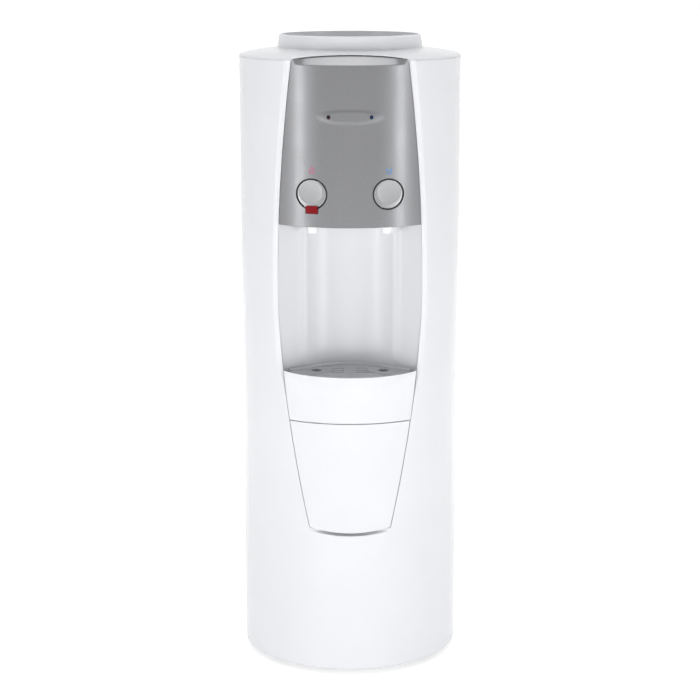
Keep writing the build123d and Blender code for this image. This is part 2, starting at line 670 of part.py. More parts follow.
def tank_shelf():
    z1 = cold_z0 - foam_t + 3 - run_gap
    inner_y = back_y - sheet_t - run_gap
    plate = cut_back(drum(body_r - shell_t - run_gap, z1 - shelf_t, z1), inner_y)
    for side in (-1, 1):
        x0, x1 = sorted((side * (flange_x - 2), side * body_r))
        plate -= block(x0, x1, inner_y - flange_t - 0.6, body_r, z1 - 10, z1 + 10)
    plate -= niche_prism(z1 - 20, z1 + 20, niche_t + 0.8)
    plate -= block(-body_r, body_r, -2 * body_r, 59 - body_r, z1 - 20, z1 + 20)
    plate -= drum(16, z1 - 10, z1 + 10, 0, tank_y)
    for x, y, r in shelf_holes():
        plate -= drum(r + 1.5, z1 - 10, z1 + 10, x, y)
    return plate + block(-20, 20, inner_y - 1.8, inner_y, z1 - 24, z1)


def shelf_holes():
    return [(suction_x, suction_y, copper_r), (-line_x, line_y, cap_line_r), (line_x, line_y, copper_r),
            (hot_hose_x, hot_hose_y, hose_r)]


def hot_bracket():
    z1 = hot_z0 - run_gap
    inner_y = back_y - sheet_t - run_gap
    half, t, low = bracket_half, bracket_t, z1 - bracket_h
    bracket = block(-half, half, hot_y - 20, inner_y, z1 - t, z1)
    bracket += block(-half, half, inner_y - t, inner_y, low, z1)
    for x in (-half + t, half - 2 * t):
        tri = make_face(Polyline((x, hot_y - 10, z1 - 1), (x, inner_y - 1, z1 - 1), (x, inner_y - 1, low + t),
                                 (x, hot_y - 10, z1 - 1)))
        bracket += extrude(tri, amount=t, dir=(1, 0, 0))
    return bracket - drum(hose_r + 1, z1 - 10, z1 + 10, 0, hot_y)


def compressor():
    body = drum(comp_r, comp_z0, comp_z1)
    body = fillet(body.edges().filter_by(GeomType.CIRCLE), 24)
    weld = drum(comp_r + 2, comp_z0 + 74, comp_z0 + 79)
    plate = Pos(0, 0, comp_z0 + 1) * Box(comp_plate, comp_plate, comp_plate_t)
    plate = fillet(plate.edges().filter_by(Axis.Z), 16)
    can = body + weld + plate
    return Pos(0, comp_y, 0) * can


def mount_places():
    reach = mount_reach * sqrt(0.5)
    return [(x, comp_y + y) for x in (-reach, reach) for y in (-reach, reach)]


def compressor_mounts():
    return [drum(mount_r, base_z + mount_seat, comp_z0 - 0.5, x, y) for x, y in mount_places()]


def start_relay():
    z = comp_z0 + 30
    case = block(comp_r - 2, comp_r + relay_out, comp_y - relay_w / 2, comp_y + relay_w / 2, z, z + relay_h)
    return case - drum(comp_r + run_gap, comp_z0, comp_z1, 0, comp_y)


def cond_top():
    return cond_z0 + (cond_rows - 1) * cond_pitch


def condenser():
    half = cond_w / 2
    pts = [(-line_x, tail_y(), cond_z0), (-line_x, cond_y, cond_z0)]
    for i in range(cond_rows):
        z = cond_z0 + i * cond_pitch
        x0, x1 = (-half, half) if i % 2 == 0 else (half, -half)
        pts += [(x0, cond_y, z), (x1, cond_y, z)]
    pts = pts[:2] + pts[3:-1] + [(line_x, cond_y, cond_top()), (line_x, tail_y(), cond_top())]
    bends = [8.0] + [cond_bend] * (len(pts) - 4) + [8.0]
    path = FilletPolyline(*pts, radius=bends)
    return sweep(Plane(origin=pts[0], z_dir=(0, 1, 0)) * Circle(cond_r), path=path)


def tail_y():
    return back_y - 7.0


def condenser_wires():
    out = []
    z0, z1 = cond_z0 - 10, cond_z0 + (cond_rows - 1) * cond_pitch + 10
    for i in range(wire_count):
        x = -wire_span / 2 + i * wire_span / (wire_count - 1)
        for side in (-1, 1):
            y = cond_y + side * (cond_r + wire_r)
            out.append(drum(wire_r, z0, z1, x, y))
    return out


def condenser_brackets():
    out = []
    for row in (1, cond_rows - 2):
        z = cond_z0 + row * cond_pitch
        for side in (-1, 1):
            x = side * (cond_w / 2 - cond_bend - bracket_w / 2 - 1)
            arm = block(x - bracket_w / 2, x + bracket_w / 2, back_y, cond_y + cond_r + 2, z - 5, z + 5)
            out.append(arm - Pos(x, cond_y, z) * Rot(0, 90, 0) * Cylinder(cond_r + 0.05, 30))
    return out


def wall_spacers():
    out = []
    for z in (seam_z - 60, base_z + 100):
        for x in (-spacer_x, spacer_x):
            post = Rot(90, 0, 0) * Cone(spacer_r0, spacer_r1, lip_reach - back_y)
            out.append(Pos(x, (back_y + lip_reach) / 2, z) * post)
    return out


def tube_path(points, r, bend):
    path = FilletPolyline(*points, radius=bend)
    start = path @ 0
    return sweep(Plane(origin=start, z_dir=path % 0) * Circle(r), path=path)


def discharge_tube():
    z = comp_z1 + 26
    return tube_path([(20, comp_y + 12, comp_z1), (20, comp_y + 12, z), (line_x, line_y, z),
                      (line_x, line_y, cond_top()), (line_x, tail_y(), cond_top())], cond_r, 10)


def suction_tube():
    x, y, z = suction_turn()
    return tube_path([(-20, comp_y + 12, comp_z1), (-20, comp_y + 12, comp_z1 + 60), (x, y, comp_z1 + 60),
                      (x, y, z), tank_port(x, y, z, copper_r, cold_r + 2 * copper_r + run_gap)], copper_r, 14)


def liquid_line():
    return tube_path([(-line_x, tail_y(), cond_z0), (-line_x, line_y, cond_z0), (-line_x, line_y, drier_z0())],
                     cond_r, 8)


def drier_z0():
    return cond_z0 + 40


def capillary():
    x, y, z = capillary_turn()
    return tube_path([(x, y, drier_z0() + 70), (x, y, z), tank_port(x, y, z, cap_line_r,
                      cold_r + 2 * copper_r + run_gap)], cap_line_r, 8)


def filter_drier():
    can = drum(9, drier_z0(), drier_z0() + 70, -line_x, line_y)
    return fillet(can.edges().filter_by(GeomType.CIRCLE), 4)


def tap(side):
    x = side * spout_x
    spout = drum(spout_r, spout_tip, button_z, x, -spout_y)
    bore = drum(spout_bore, spout_tip - 1, button_z - 8, x, -spout_y)
    collar = drum(spout_r + 3.5, niche_ceiling + niche_t + 0.3, niche_ceiling + niche_t + 8, x, -spout_y)
    valve = rod_y(x, button_z, valve_r, -valve_y1, -valve_y0)
    barb = rod_y(x, button_z, barb_r, -valve_y0 - 1, -valve_y0 + barb_len)
    return spout + collar + valve + barb - bore


def button_guide():
    out = []
    for side in (-1, 1):
        x = side * button_x
        y0 = -panel_r + cap_depth - guide_t - 2
        sleeve = rod_y(x, button_z, guide_r, y0, y0 + guide_t)
        sleeve -= rod_y(x, button_z, cap_r + 1.0 + guide_gap, y0 - 1, y0 + guide_t + 1)
        if side < 0:
            sleeve -= block(x - lock_w / 2 - 0.9, x + lock_w / 2 + 0.9, -body_r, y0 + guide_t + 1,
                            lock_z - lock_h, lock_z + lock_h)
        out.append(sleeve & drum(panel_r - panel_t - 0.05, button_z - 50, button_z + 50))
    return out


def button_spring(side):
    # the return spring between cap and valve, as the closed sleeve that its turns fill
    x = side * button_x
    y0, y1 = -panel_r + cap_depth + 0.2, -valve_y1 - 0.2
    return rod_y(x, button_z, 8.5, y0, y1) - rod_y(x, button_z, 6.5, y0 - 1, y1 + 1)


def lamp(side):
    x = side * lamp_x
    y = -sqrt((panel_r + boss_up) ** 2 - x ** 2)
    lens = rod_y(x, boss_z, lamp_r, y - 0.4, y + 9)
    return fillet(lens.edges().group_by(Axis.Y)[0], lamp_round)


def indicator_board():
    y = -panel_r + panel_t + 10
    board = block(-44, 44, y, y + 1.6, boss_z - 14, boss_z + 14)
    for x in (-38, 38):
        depth = -sqrt((panel_r - panel_t) ** 2 - (abs(x) + 3) ** 2)
        board += rod_y(x, boss_z, 3.0, depth + 0.05, y + 1)
    return board


def rod_x(y, z, r, x0, x1):
    return Pos((x0 + x1) / 2, y, z) * Rot(0, 90, 0) * Cylinder(r, x1 - x0)


def switch_housing():
    out = []
    half, z = rocker_w / 2, switch_z()
    for x in (-switch_x, switch_x):
        out_x, tall = half + bezel, switch_h / 2
        frame = block(x - out_x, x + out_x, back_y, back_y + bezel_t, z - tall - 2, z + tall + 2)
        body = block(x - out_x + 2, x + out_x - 2, back_y - switch_d, back_y + 1, z - tall, z + tall)
        well = block(x - half - run_gap, x + half + run_gap, back_y - 12, back_y + 4, z - tall + 1.7,
                     z + tall - 1.7)
        pivot = rod_x(back_y - 3.0, z, pivot_r + pivot_gap, x - half - 1.4, x + half + 1.4)
        out.append(frame + body - well - pivot)
    return out


def rocker(side):
    x, y, z, half = side * switch_x, back_y - 3.0, switch_z(), rocker_w / 2
    outline = [(-4, -10.5), (5, -11), (3.4, 0), (7.5, 10.6), (-3, 10.5), (-4, -10.5)]
    blade = make_face(Polyline([(x - half, y + dy, z + dz) for dy, dz in outline]))
    return extrude(blade, amount=rocker_w, dir=(1, 0, 0)) + rod_x(y, z, pivot_r, x - half - 1.2, x + half + 1.2)


def drain_outlet():
    x, z = drain_x, drain_z
    tube = rod_y(x, z, drain_r, back_y - drain_out, back_y + drain_out)
    flange = rod_y(x, z, drain_r + 4, back_y, back_y + 2.5)
    barb = rod_y(x, z, barb_r, back_y - 30, back_y - 15)
    return tube + flange + barb - rod_y(x, z, barb_r - 1.5, back_y - 31, back_y + drain_out + 1)


def drain_cap():
    x, z = drain_x, drain_z
    cap_outer = drain_r + 4
    cap = rod_y(x, z, cap_outer, back_y + 4, back_y + drain_out + 3)
    cap -= rod_y(x, z, drain_r + run_gap, back_y + 3, back_y + drain_out + run_gap)
    for i in range(cap_knurls):
        a = radians(i * 360 / cap_knurls)
        at_x, at_z = x + (cap_outer + 0.6) * cos(a), z + (cap_outer + 0.6) * sin(a)
        cap -= rod_y(at_x, at_z, cap_knurl_r, back_y + 3, back_y + drain_out + 4)
    return cap


def cord_gland():
    x, z = cord_x, cord_z
    gland = rod_y(x, z, 11.0, back_y, back_y + 4) + rod_y(x, z, 8.0, back_y - 8, back_y + 1)
    return gland - rod_y(x, z, cord_r, back_y - 9, back_y + 5)


def wiring_box():
    y = back_y - sheet_t
    return block(-box_w / 2, box_w / 2, y - box_d, y, box_z0, box_z0 + box_h)


def hot_hose():
    x, z = -22, hot_z1 + 22
    start = (-spout_x, -valve_y0 + barb_len + 0.1, button_z)
    return tube_path([start, (-spout_x, -valve_y0 + 28, button_z),
                      (hot_hose_x, hot_hose_y, button_z), (hot_hose_x, hot_hose_y, z), (x, hot_y, z),
                      (x, hot_y, hot_z1 + 0.1)], hose_r, 9)


def cold_hose():
    x, y, z = cold_port_start()
    start = (x, -valve_y0 + barb_len + 0.1, z)
    return tube_path([start, (x, y, z), tank_port(x, y, z, hose_r, cold_r + 0.2)], hose_r, 10)


def feed_hose():
    # cold tank down to the foot of the hot tank, between the niche and the hot tank
    y, z = (hot_y - hot_r - jacket_gap - jacket_t - cove_mid + niche_t) / 2, hot_z0 + 14
    return tube_path([(0, tank_y, cold_z0 - 0.1), (0, tank_y, cold_z0 - 42), (0, y, cold_z0 - 42), (0, y, z),
                      (0, hot_y - hot_r - 0.1, z)], hose_r, 12)


def drain_hose():
    x, z = drain_x, drain_z
    side, low, y = body_r - 55, hot_z0 - 45, hot_y + 30
    return tube_path([(0, hot_y, hot_z0 - 0.1), (0, hot_y, low), (side, y, low), (side, y, z + 60),
                      (x, back_y - 42, z), (x, back_y - 30.1, z)], hose_r, 12)


parts_by_name = {
    "cabinet_shell": cabinet_shell, "top_cover": lambda: top_cover() + seat_ring(),
    "control_panel": control_panel, "alcove_liner": alcove_liner, "drip_tray": drip_tray,
    "tray_grille": tray_grille, "lower_panel": lower_panel, "base_pan": base_pan,
    "rubber_feet": rubber_feet, "rear_panel": rear_panel, "rear_screws": rear_screws,
    "bottle_seat": bottle_seat, "feed_probe": feed_probe, "cold_tank": cold_tank,
    "foam_jacket": foam_jacket, "tank_cover": tank_cover, "evaporator_coil": evaporator_coil,
    "cold_baffle": cold_baffle, "hot_tank": hot_tank, "hot_jacket": hot_jacket,
    "heater_band": heater_band, "thermostats": thermostats, "tank_shelf": tank_shelf,
    "hot_bracket": hot_bracket, "compressor": compressor, "compressor_mounts": compressor_mounts,
    "start_relay": start_relay, "condenser": condenser, "condenser_wires": condenser_wires,
    "condenser_brackets": condenser_brackets, "wall_spacers": wall_spacers,
    "discharge_tube": discharge_tube, "suction_tube": suction_tube, "filter_drier": filter_drier,
    "hot_tap": lambda: tap(-1), "cold_tap": lambda: tap(1), "button_guides": button_guide,
    "hot_spring": lambda: button_spring(-1), "cold_spring": lambda: button_spring(1),
    "hot_button": lambda: button_cap(-1),
    "cold_button": lambda: button_cap(1), "child_lock": child_lock, "hot_lamp": lambda: lamp(-1),
    "cold_lamp": lambda: lamp(1), "indicator_board": indicator_board,
    "switch_housings": switch_housing, "hot_switch": lambda: rocker(-1),
    "cold_switch": lambda: rocker(1), "drain_outlet": drain_outlet, "drain_cap": drain_cap,
    "cord_gland": cord_gland, "wiring_box": wiring_box, "liquid_line": liquid_line,
    "capillary": capillary, "hot_hose": hot_hose, "cold_hose": cold_hose, "feed_hose": feed_hose,
    "drain_hose": drain_hose,
}

os.makedirs("parts", exist_ok=True)
for name, make in parts_by_name.items():
    shape = make()
    if isinstance(shape, list):
        shape = Compound(children=shape)
    export_step(shape, f"parts/{name}.step")
    print(name, round(shape.volume / 1000, 1))
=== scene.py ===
import json
import math
import bpy
import bmesh
import numpy as np
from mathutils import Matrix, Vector


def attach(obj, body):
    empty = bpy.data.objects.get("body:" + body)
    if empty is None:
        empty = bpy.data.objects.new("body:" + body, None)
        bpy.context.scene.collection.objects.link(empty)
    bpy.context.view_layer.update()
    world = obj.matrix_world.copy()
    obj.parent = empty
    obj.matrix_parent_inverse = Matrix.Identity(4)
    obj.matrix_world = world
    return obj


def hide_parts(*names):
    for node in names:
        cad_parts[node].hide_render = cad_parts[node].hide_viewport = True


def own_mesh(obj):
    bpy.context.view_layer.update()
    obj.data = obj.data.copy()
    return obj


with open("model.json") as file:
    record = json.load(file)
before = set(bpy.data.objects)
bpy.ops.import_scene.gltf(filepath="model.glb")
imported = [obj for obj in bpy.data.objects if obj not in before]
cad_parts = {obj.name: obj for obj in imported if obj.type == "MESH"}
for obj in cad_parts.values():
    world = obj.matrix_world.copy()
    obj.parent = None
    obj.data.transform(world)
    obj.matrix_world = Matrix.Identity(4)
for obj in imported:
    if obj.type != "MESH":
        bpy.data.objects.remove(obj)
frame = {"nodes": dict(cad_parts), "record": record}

scene = bpy.context.scene
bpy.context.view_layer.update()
nodes = frame["nodes"]
print("frame loaded:", len(nodes), "nodes")

# the shape functions below work in millimetres, and newPiece scales them to metres
mm = 0.001
weldDistance = 2e-6  # metres: points closer than this become one

column = dict(radius=155.0, wall=2.4, bottom=8.0, top=858.7, backFace=133.4, flangeIn=60.0)
opening = dict(wideZ=548.0, wideHalf=99.2, lowZ=208.0, lowHalf=55.4, highZ=854.0, highHalf=79.2,
               lowPower=1.7, highPower=1.9, sag=6.5, recess=4.0, fadeLow=388.0, fadeHigh=452.0)
footZ = opening["lowZ"] + opening["sag"]  # height of its two lower corners, with the bowed foot between them


def smoothStep(low, high, value):
    u = np.clip((value - low) / (high - low), 0.0, 1.0)
    return u * u * (3.0 - 2.0 * u)


def shares(count):
    return np.linspace(0, 1, count)  # even steps from nothing to the whole


def roundTurn(count):
    return np.linspace(0, 2 * math.pi, count, endpoint=False)


def arcAt(radius, x):
    # how far a circle lies from its own middle, at a sideways distance x
    return np.sqrt(radius ** 2 - x ** 2)


def halfWidth(z):
    # half width of the front opening: a power law narrowing below and above its widest height
    o = opening
    z = np.asarray(z, float)
    wide = o["wideHalf"]
    low = np.clip((o["wideZ"] - z) / (o["wideZ"] - o["lowZ"]), 0, None) ** o["lowPower"]
    high = np.clip((z - o["wideZ"]) / (o["highZ"] - o["wideZ"]), 0, None) ** o["highPower"]
    return wide - (wide - o["lowHalf"]) * low - (wide - o["highHalf"]) * high


def bevelDepth(z):
    # distance in front of the axis of the flat strip beside the opening
    inner = column["radius"] - opening["recess"] * smoothStep(opening["fadeLow"], opening["fadeHigh"], z)
    return arcAt(inner, halfWidth(z))


def gridQuads(nu, nv, wrapU=False, wrapV=False, start=0):
    # quads between neighbours in a grid of points; wrapping joins its last row or column to the first
    u, v = np.meshgrid(np.arange(nu - (not wrapU)), np.arange(nv - (not wrapV)), indexing="ij")
    u2, v2 = (u + 1) % nu, (v + 1) % nv
    return np.stack([u * nv + v, u2 * nv + v, u2 * nv + v2, u * nv + v2], -1).reshape(-1, 4) + start


def joined(*parts):
    # joins coordinates into points, or corner numbers into faces; a single number goes with every entry
    return np.stack(np.broadcast_arrays(*parts), -1)


def shifted(points, back, up=0.0):
    return points + np.array([0, back, up])  # moved towards the back, and up


def newPiece(name, points, faces, body="cabinet", slot="white_gloss", look=None, sharp=38.0, recalc=True):
    # faces is an array of quads, or a list in which some faces have another number of corners
    # the finish is that of the slot, unless look names another
    if isinstance(faces, np.ndarray):
        faces = faces.tolist()
    mesh = bpy.data.meshes.new(name)
    mesh.from_pydata((np.asarray(points, float).reshape(-1, 3) * mm).tolist(), [], faces)
    work = bmesh.new()
    work.from_mesh(mesh)
    bmesh.ops.remove_doubles(work, verts=work.verts, dist=weldDistance)
    if recalc:
        bmesh.ops.recalc_face_normals(work, faces=work.faces)
    work.to_mesh(mesh)
    work.free()
    mesh.polygons.foreach_set("use_smooth", np.ones(len(mesh.polygons), bool))
    mesh.set_sharp_from_angle(angle=math.radians(sharp))
    mesh.materials.append(finish[look or slot])
    piece = bpy.data.objects.new(name, mesh)
    scene.collection.objects.link(piece)
    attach(piece, body)
    return piece


def walled(outer, inner, wrapU=False):
    # a closed body between two grids of the same shape: both skins and a strip along each open border
    nu, nv = outer.shape[:2]
    count = nu * nv
    points = np.concatenate([outer.reshape(-1, 3), inner.reshape(-1, 3)])
    skin = gridQuads(nu, nv, wrapU)
    quads = [skin, skin[:, ::-1] + count]
    index = np.arange(count).reshape(nu, nv)
    borders = [index[:, 0][::-1], index[:, -1]]
    if not wrapU:
        borders += [index[0, :], index[-1, :][::-1]]
    for line in borders:
        a, b = line[:-1], line[1:]
        if wrapU:
            a, b = line, np.roll(line, -1)
        quads.append(joined(a, b, b + count, a + count))
    return points, np.concatenate(quads)


def thickened(piece, wall, bevel, segments=3, angle=50.0):
    # gives an open sheet a wall behind it and rounds its edges
    solid = piece.modifiers.new("wall", "SOLIDIFY")
    solid.thickness, solid.offset, solid.use_even_offset = wall * mm, -1.0, True
    edge = piece.modifiers.new("edge", "BEVEL")
    edge.width, edge.segments, edge.limit_method = bevel * mm, segments, "ANGLE"
    edge.angle_limit = math.radians(angle)
    normal = piece.modifiers.new("normals", "WEIGHTED_NORMAL")
    normal.keep_sharp = True
    return piece


def bezier(a, b, c, count):
    # points on a quadratic curve from a to c that leans towards b; a, b and c are arrays of points
    t = shares(count)[None, :, None]
    return a[:, None] * (1 - t) ** 2 + 2 * b[:, None] * t * (1 - t) + c[:, None] * t ** 2


def fill(tree, node, values, links):
    # sets fixed values on a node's sockets and links others
    for socket, value in values.items():
        node.inputs[socket].default_value = value
    for socket, source in links.items():
        tree.links.new(source, node.inputs[socket])
    return node


def addNode(tree, kind, values={}, links={}, **settings):
    node = tree.nodes.new("ShaderNode" + kind)
    for key, value in settings.items():
        setattr(node, key, value)
    return fill(tree, node, values, links)


def nodeMaterial(name):
    # an empty material, its shader, and the object's own coordinates that every grain is fixed to
    material = bpy.data.materials.new(name)
    material.use_nodes = True
    tree = material.node_tree
    tree.nodes.clear()
    shader = addNode(tree, "BsdfPrincipled")
    addNode(tree, "OutputMaterial", {}, {"Surface": shader.outputs["BSDF"]})
    return material, tree, shader, addNode(tree, "TexCoord").outputs["Object"]


def noiseNode(tree, vector, scale, detail=3.0, rough=0.5):
    values = {"Scale": scale, "Detail": detail, "Roughness": rough}
    return addNode(tree, "TexNoise", values, {"Vector": vector}).outputs["Fac"]


def cellNode(tree, vector, scale):
    return addNode(tree, "TexVoronoi", {"Scale": scale}, {"Vector": vector}).outputs


def rangeNode(tree, value, low, high, start=0.3, end=0.7):
    values = {"From Min": start, "From Max": end, "To Min": low, "To Max": high}
    return addNode(tree, "MapRange", values, {"Value": value}).outputs["Result"]


def mixColour(tree, factor, first, second):
    values = {"A": (*first, 1), "B": (*second, 1)}
    return addNode(tree, "Mix", values, {"Factor": factor}, data_type="RGBA").outputs["Result"]


def bumpNode(tree, height, distance, strength, under={}):
    links = {"Height": height, **under}
    return addNode(tree, "Bump", {"Distance": distance, "Strength": strength}, links).outputs["Normal"]


def shaded(colour, factor, lift=0.0):
    return tuple(min(1.0, c * factor + lift) for c in colour)


def mouldedPlastic(name, colour, rough=(0.18, 0.26), grain=(900.0, 0.00002), waves=(14.0, 0.00012),
                   tint=0.02, ior=1.5):
    # moulded plastic: a fine grain, long shallow flow waves, and a slight change of tone and gloss
    material, tree, shader, place = nodeMaterial(name)
    slow = noiseNode(tree, place, waves[0], 2.0)
    fine = noiseNode(tree, place, grain[0], 2.0)
    spots = noiseNode(tree, place, 60.0, 4.0)
    waved = bumpNode(tree, slow, waves[1], 0.6)
    fill(tree, shader, {"IOR": ior}, {
        "Base Color": mixColour(tree, rangeNode(tree, slow, 0, 1), colour, shaded(colour, 1 - tint)),
        "Roughness": rangeNode(tree, spots, rough[0], rough[1], 0.0, 1.0),
        "Normal": bumpNode(tree, fine, grain[1], 0.5, {"Normal": waved})})
    return material


def metallicPaint(name, colour, metal=0.75, rough=(0.30, 0.38), coat=0.6):
    # silver paint: tiny flakes that tilt and lighten the colour, under a clear layer
    material, tree, shader, place = nodeMaterial(name)
    flakes = cellNode(tree, place, 2600.0)
    cloud = noiseNode(tree, place, 22.0)
    fill(tree, shader, {"Metallic": metal, "Coat Weight": coat, "Coat Roughness": 0.18}, {
        "Base Color": mixColour(tree, flakes["Color"], shaded(colour, 0.88), shaded(colour, 1.16)),
        "Roughness": rangeNode(tree, cloud, rough[0], rough[1]),
        "Normal": bumpNode(tree, flakes["Distance"], 0.00001, 0.25)})
    return material


def sheetMetal(name, colour, rough=(0.22, 0.40), stretch=(1.0, 1.0, 40.0), metal=1.0):
    # bare metal: fine scratches drawn out along one direction
    material, tree, shader, place = nodeMaterial(name)
    drawn = addNode(tree, "Mapping", {"Scale": stretch}, {"Vector": place}).outputs["Vector"]
    lines = noiseNode(tree, drawn, 90.0, 5.0, 0.6)
    patches = noiseNode(tree, place, 25.0)
    fill(tree, shader, {"Metallic": metal}, {
        "Base Color": mixColour(tree, patches, shaded(colour, 0.9), colour),
        "Roughness": rangeNode(tree, lines, rough[0], rough[1]),
        "Normal": bumpNode(tree, lines, 0.00002, 0.4)})
    return material


def softFoam(name, colour, cell=420.0, depth=0.0004, rough=0.9):
    # foam or rubber: small cells that pit the surface
    material, tree, shader, place = nodeMaterial(name)
    cells = cellNode(tree, place, cell)
    cloud = noiseNode(tree, place, 30.0, 4.0)
    fill(tree, shader, {}, {
        "Base Color": mixColour(tree, cloud, shaded(colour, 0.86), colour),
        "Roughness": rangeNode(tree, cloud, rough - 0.08, rough),
        "Normal": bumpNode(tree, cells["Distance"], depth, 0.5)})
    return material


def printedInk(name, colour, rough=0.42):
    # matt ink with a fine speckle of a lighter tone
    material, tree, shader, place = nodeMaterial(name)
    speck = rangeNode(tree, noiseNode(tree, place, 2600.0), 0.0, 1.0)
    tone = mixColour(tree, speck, colour, shaded(colour, 1.06, 0.004))
    fill(tree, shader, {"Roughness": rough}, {"Base Color": tone})
    return material


finish = {
    "white_gloss": mouldedPlastic("whiteGloss", (0.80, 0.81, 0.835), rough=(0.20, 0.27)),
    "white_satin": mouldedPlastic("whiteSatin", (0.72, 0.73, 0.75), (0.40, 0.50), (700.0, 0.00004)),
    "white_paint": mouldedPlastic("whitePowder", (0.74, 0.75, 0.77), (0.42, 0.52), (520.0, 0.00007)),
    # painted shade: the niche's walls, lid and floor take a darker copy of the body's white, for the shade
    # inside the recess
    "white_niche_shaded": mouldedPlastic("nicheShadedWhite", (0.68, 0.69, 0.71), (0.27, 0.30), waves=(14.0, 0.00004),
                                  tint=0.01),
    # painted light: a lighter copy of the white for the spouts, which sit in the panel's shade
    "white_spout_lit": mouldedPlastic("spoutLitWhite", (0.93, 0.935, 0.945), rough=(0.20, 0.27)),
    "silver_paint": metallicPaint("silverPaint", (0.190, 0.192, 0.200)),
    # painted light: the button caps take a lighter copy of the panel's silver paint
    "silver_button_lit": metallicPaint("buttonLitSilver", (0.27, 0.272, 0.28)),
    "tray_grey": mouldedPlastic("trayGrey", (0.56, 0.57, 0.59), rough=(0.34, 0.44), grain=(650.0, 0.00005)),
    "lock_red": mouldedPlastic("lockRed", (0.23, 0.003, 0.008), rough=(0.16, 0.24), tint=0.08, ior=1.25),
    "lens_red": mouldedPlastic("lensRed", (0.020, 0.004, 0.008), rough=(0.06, 0.10), tint=0.2, ior=1.3),
    "lens_blue": mouldedPlastic("lensBlue", (0.008, 0.028, 0.070), rough=(0.06, 0.10), tint=0.2, ior=1.3),
    "black_plastic": mouldedPlastic("blackPlastic", (0.022, 0.022, 0.024), rough=(0.34, 0.46), tint=0.15),
    "black_paint": mouldedPlastic("blackPaint", (0.016, 0.016, 0.018), rough=(0.28, 0.40), tint=0.2),
    "rubber_black": softFoam("rubberBlack", (0.030, 0.030, 0.031), 900.0, 0.00005, 0.75),
    "steel_brushed": sheetMetal("stainlessSheet", (0.62, 0.61, 0.60)),
    "steel_zinc": sheetMetal("zincSteel", (0.58, 0.59, 0.60), rough=(0.30, 0.48), stretch=(6.0, 6.0, 6.0)),
    "copper_tube": sheetMetal("copperTube", (0.78, 0.42, 0.28), rough=(0.24, 0.42), stretch=(4.0, 4.0, 4.0)),
    "foam_white": softFoam("foamWhite", (0.78, 0.78, 0.74)),
    "silicone": mouldedPlastic("silicone", (0.70, 0.70, 0.68), rough=(0.30, 0.38), tint=0.05),
    "board_green": mouldedPlastic("boardGreen", (0.02, 0.12, 0.05), rough=(0.30, 0.40), tint=0.3),
    "mica_tan": sheetMetal("micaFoil", (0.50, 0.42, 0.30), rough=(0.35, 0.55), metal=0.3),
    "print_red": printedInk("printRed", (0.50, 0.075, 0.19)),
    "print_blue": printedInk("printBlue", (0.06, 0.22, 0.48)),
}
# each node takes the finish of its slot, apart from the two spouts, which take a lighter copy of the white as
# painted light, so that they read bright in the shade under the panel
slotOf = {entry["node"]: entry["material_slot"] for entry in frame["record"]["subparts"]}
ownFinish = {"hot_tap": "white_spout_lit", "cold_tap": "white_spout_lit"}
for name, node in nodes.items():
    node.data.materials.clear()
    node.data.materials.append(finish[ownFinish.get(name, slotOf[name])])
print("finishes made:", len(finish))


# column skin: the shell's outside, from the opening's edge round to the flanges at the back
skin = dict(sideRows=190, footRows=130, surfaceColumns=86, lip=0.8, roll=2.0, rollShare=0.42, step=0.1,
            returnWall=12.0, foldIn=0.975, creaseDepth=0.55, creaseWidth=2.2, creaseLow=150.0,
            creaseLean=0.175, creaseFade=6.0)


def openingOutline():
    # right side from the top down, the bowed foot, then the left side up, and the outward direction there
    o, s = opening, skin
    z = np.linspace(column["top"], footZ, s["sideRows"])
    half = halfWidth(footZ)
    arc = (half ** 2 + o["sag"] ** 2) / (2 * o["sag"])
    x = np.linspace(half, -half, s["footRows"])[1:-1]
    footArc = o["lowZ"] + arc - arcAt(arc, x)
    px = np.concatenate([halfWidth(z), x, -halfWidth(z[::-1])])
    pz = np.concatenate([z, footArc, z[::-1]])
    one = np.ones(len(z))
    nx = np.concatenate([one, x / arc, -one])
    nz = np.concatenate([0 * one, (footArc - o["lowZ"] - arc) / arc, 0 * one])
    # a lower corner moves as far from its side as from the foot
    nz[[len(z) - 1, len(z) + len(x)]] = -math.sqrt(1 - (half / arc) ** 2) / (1 + half / arc)
    return px, pz, nx, nz


def columnFace(x, z):
    # the skin's depth: the flat strip beside the opening where that lies further back than the column
    return -np.minimum(bevelDepth(z), np.sqrt(np.clip(column["radius"] ** 2 - x ** 2, 0, None)))


def crease(x, z):
    # a shallow crease: a bell curve across a line that leans in and down from each lower corner
    s = skin
    line = halfWidth(footZ) - (footZ - z) * s["creaseLean"]
    reach = smoothStep(s["creaseLow"], footZ - s["creaseFade"], z) * (z < footZ + 1)
    away = (np.abs(x) - line) / s["creaseWidth"]
    return s["creaseDepth"] * reach * np.exp(-away ** 2)


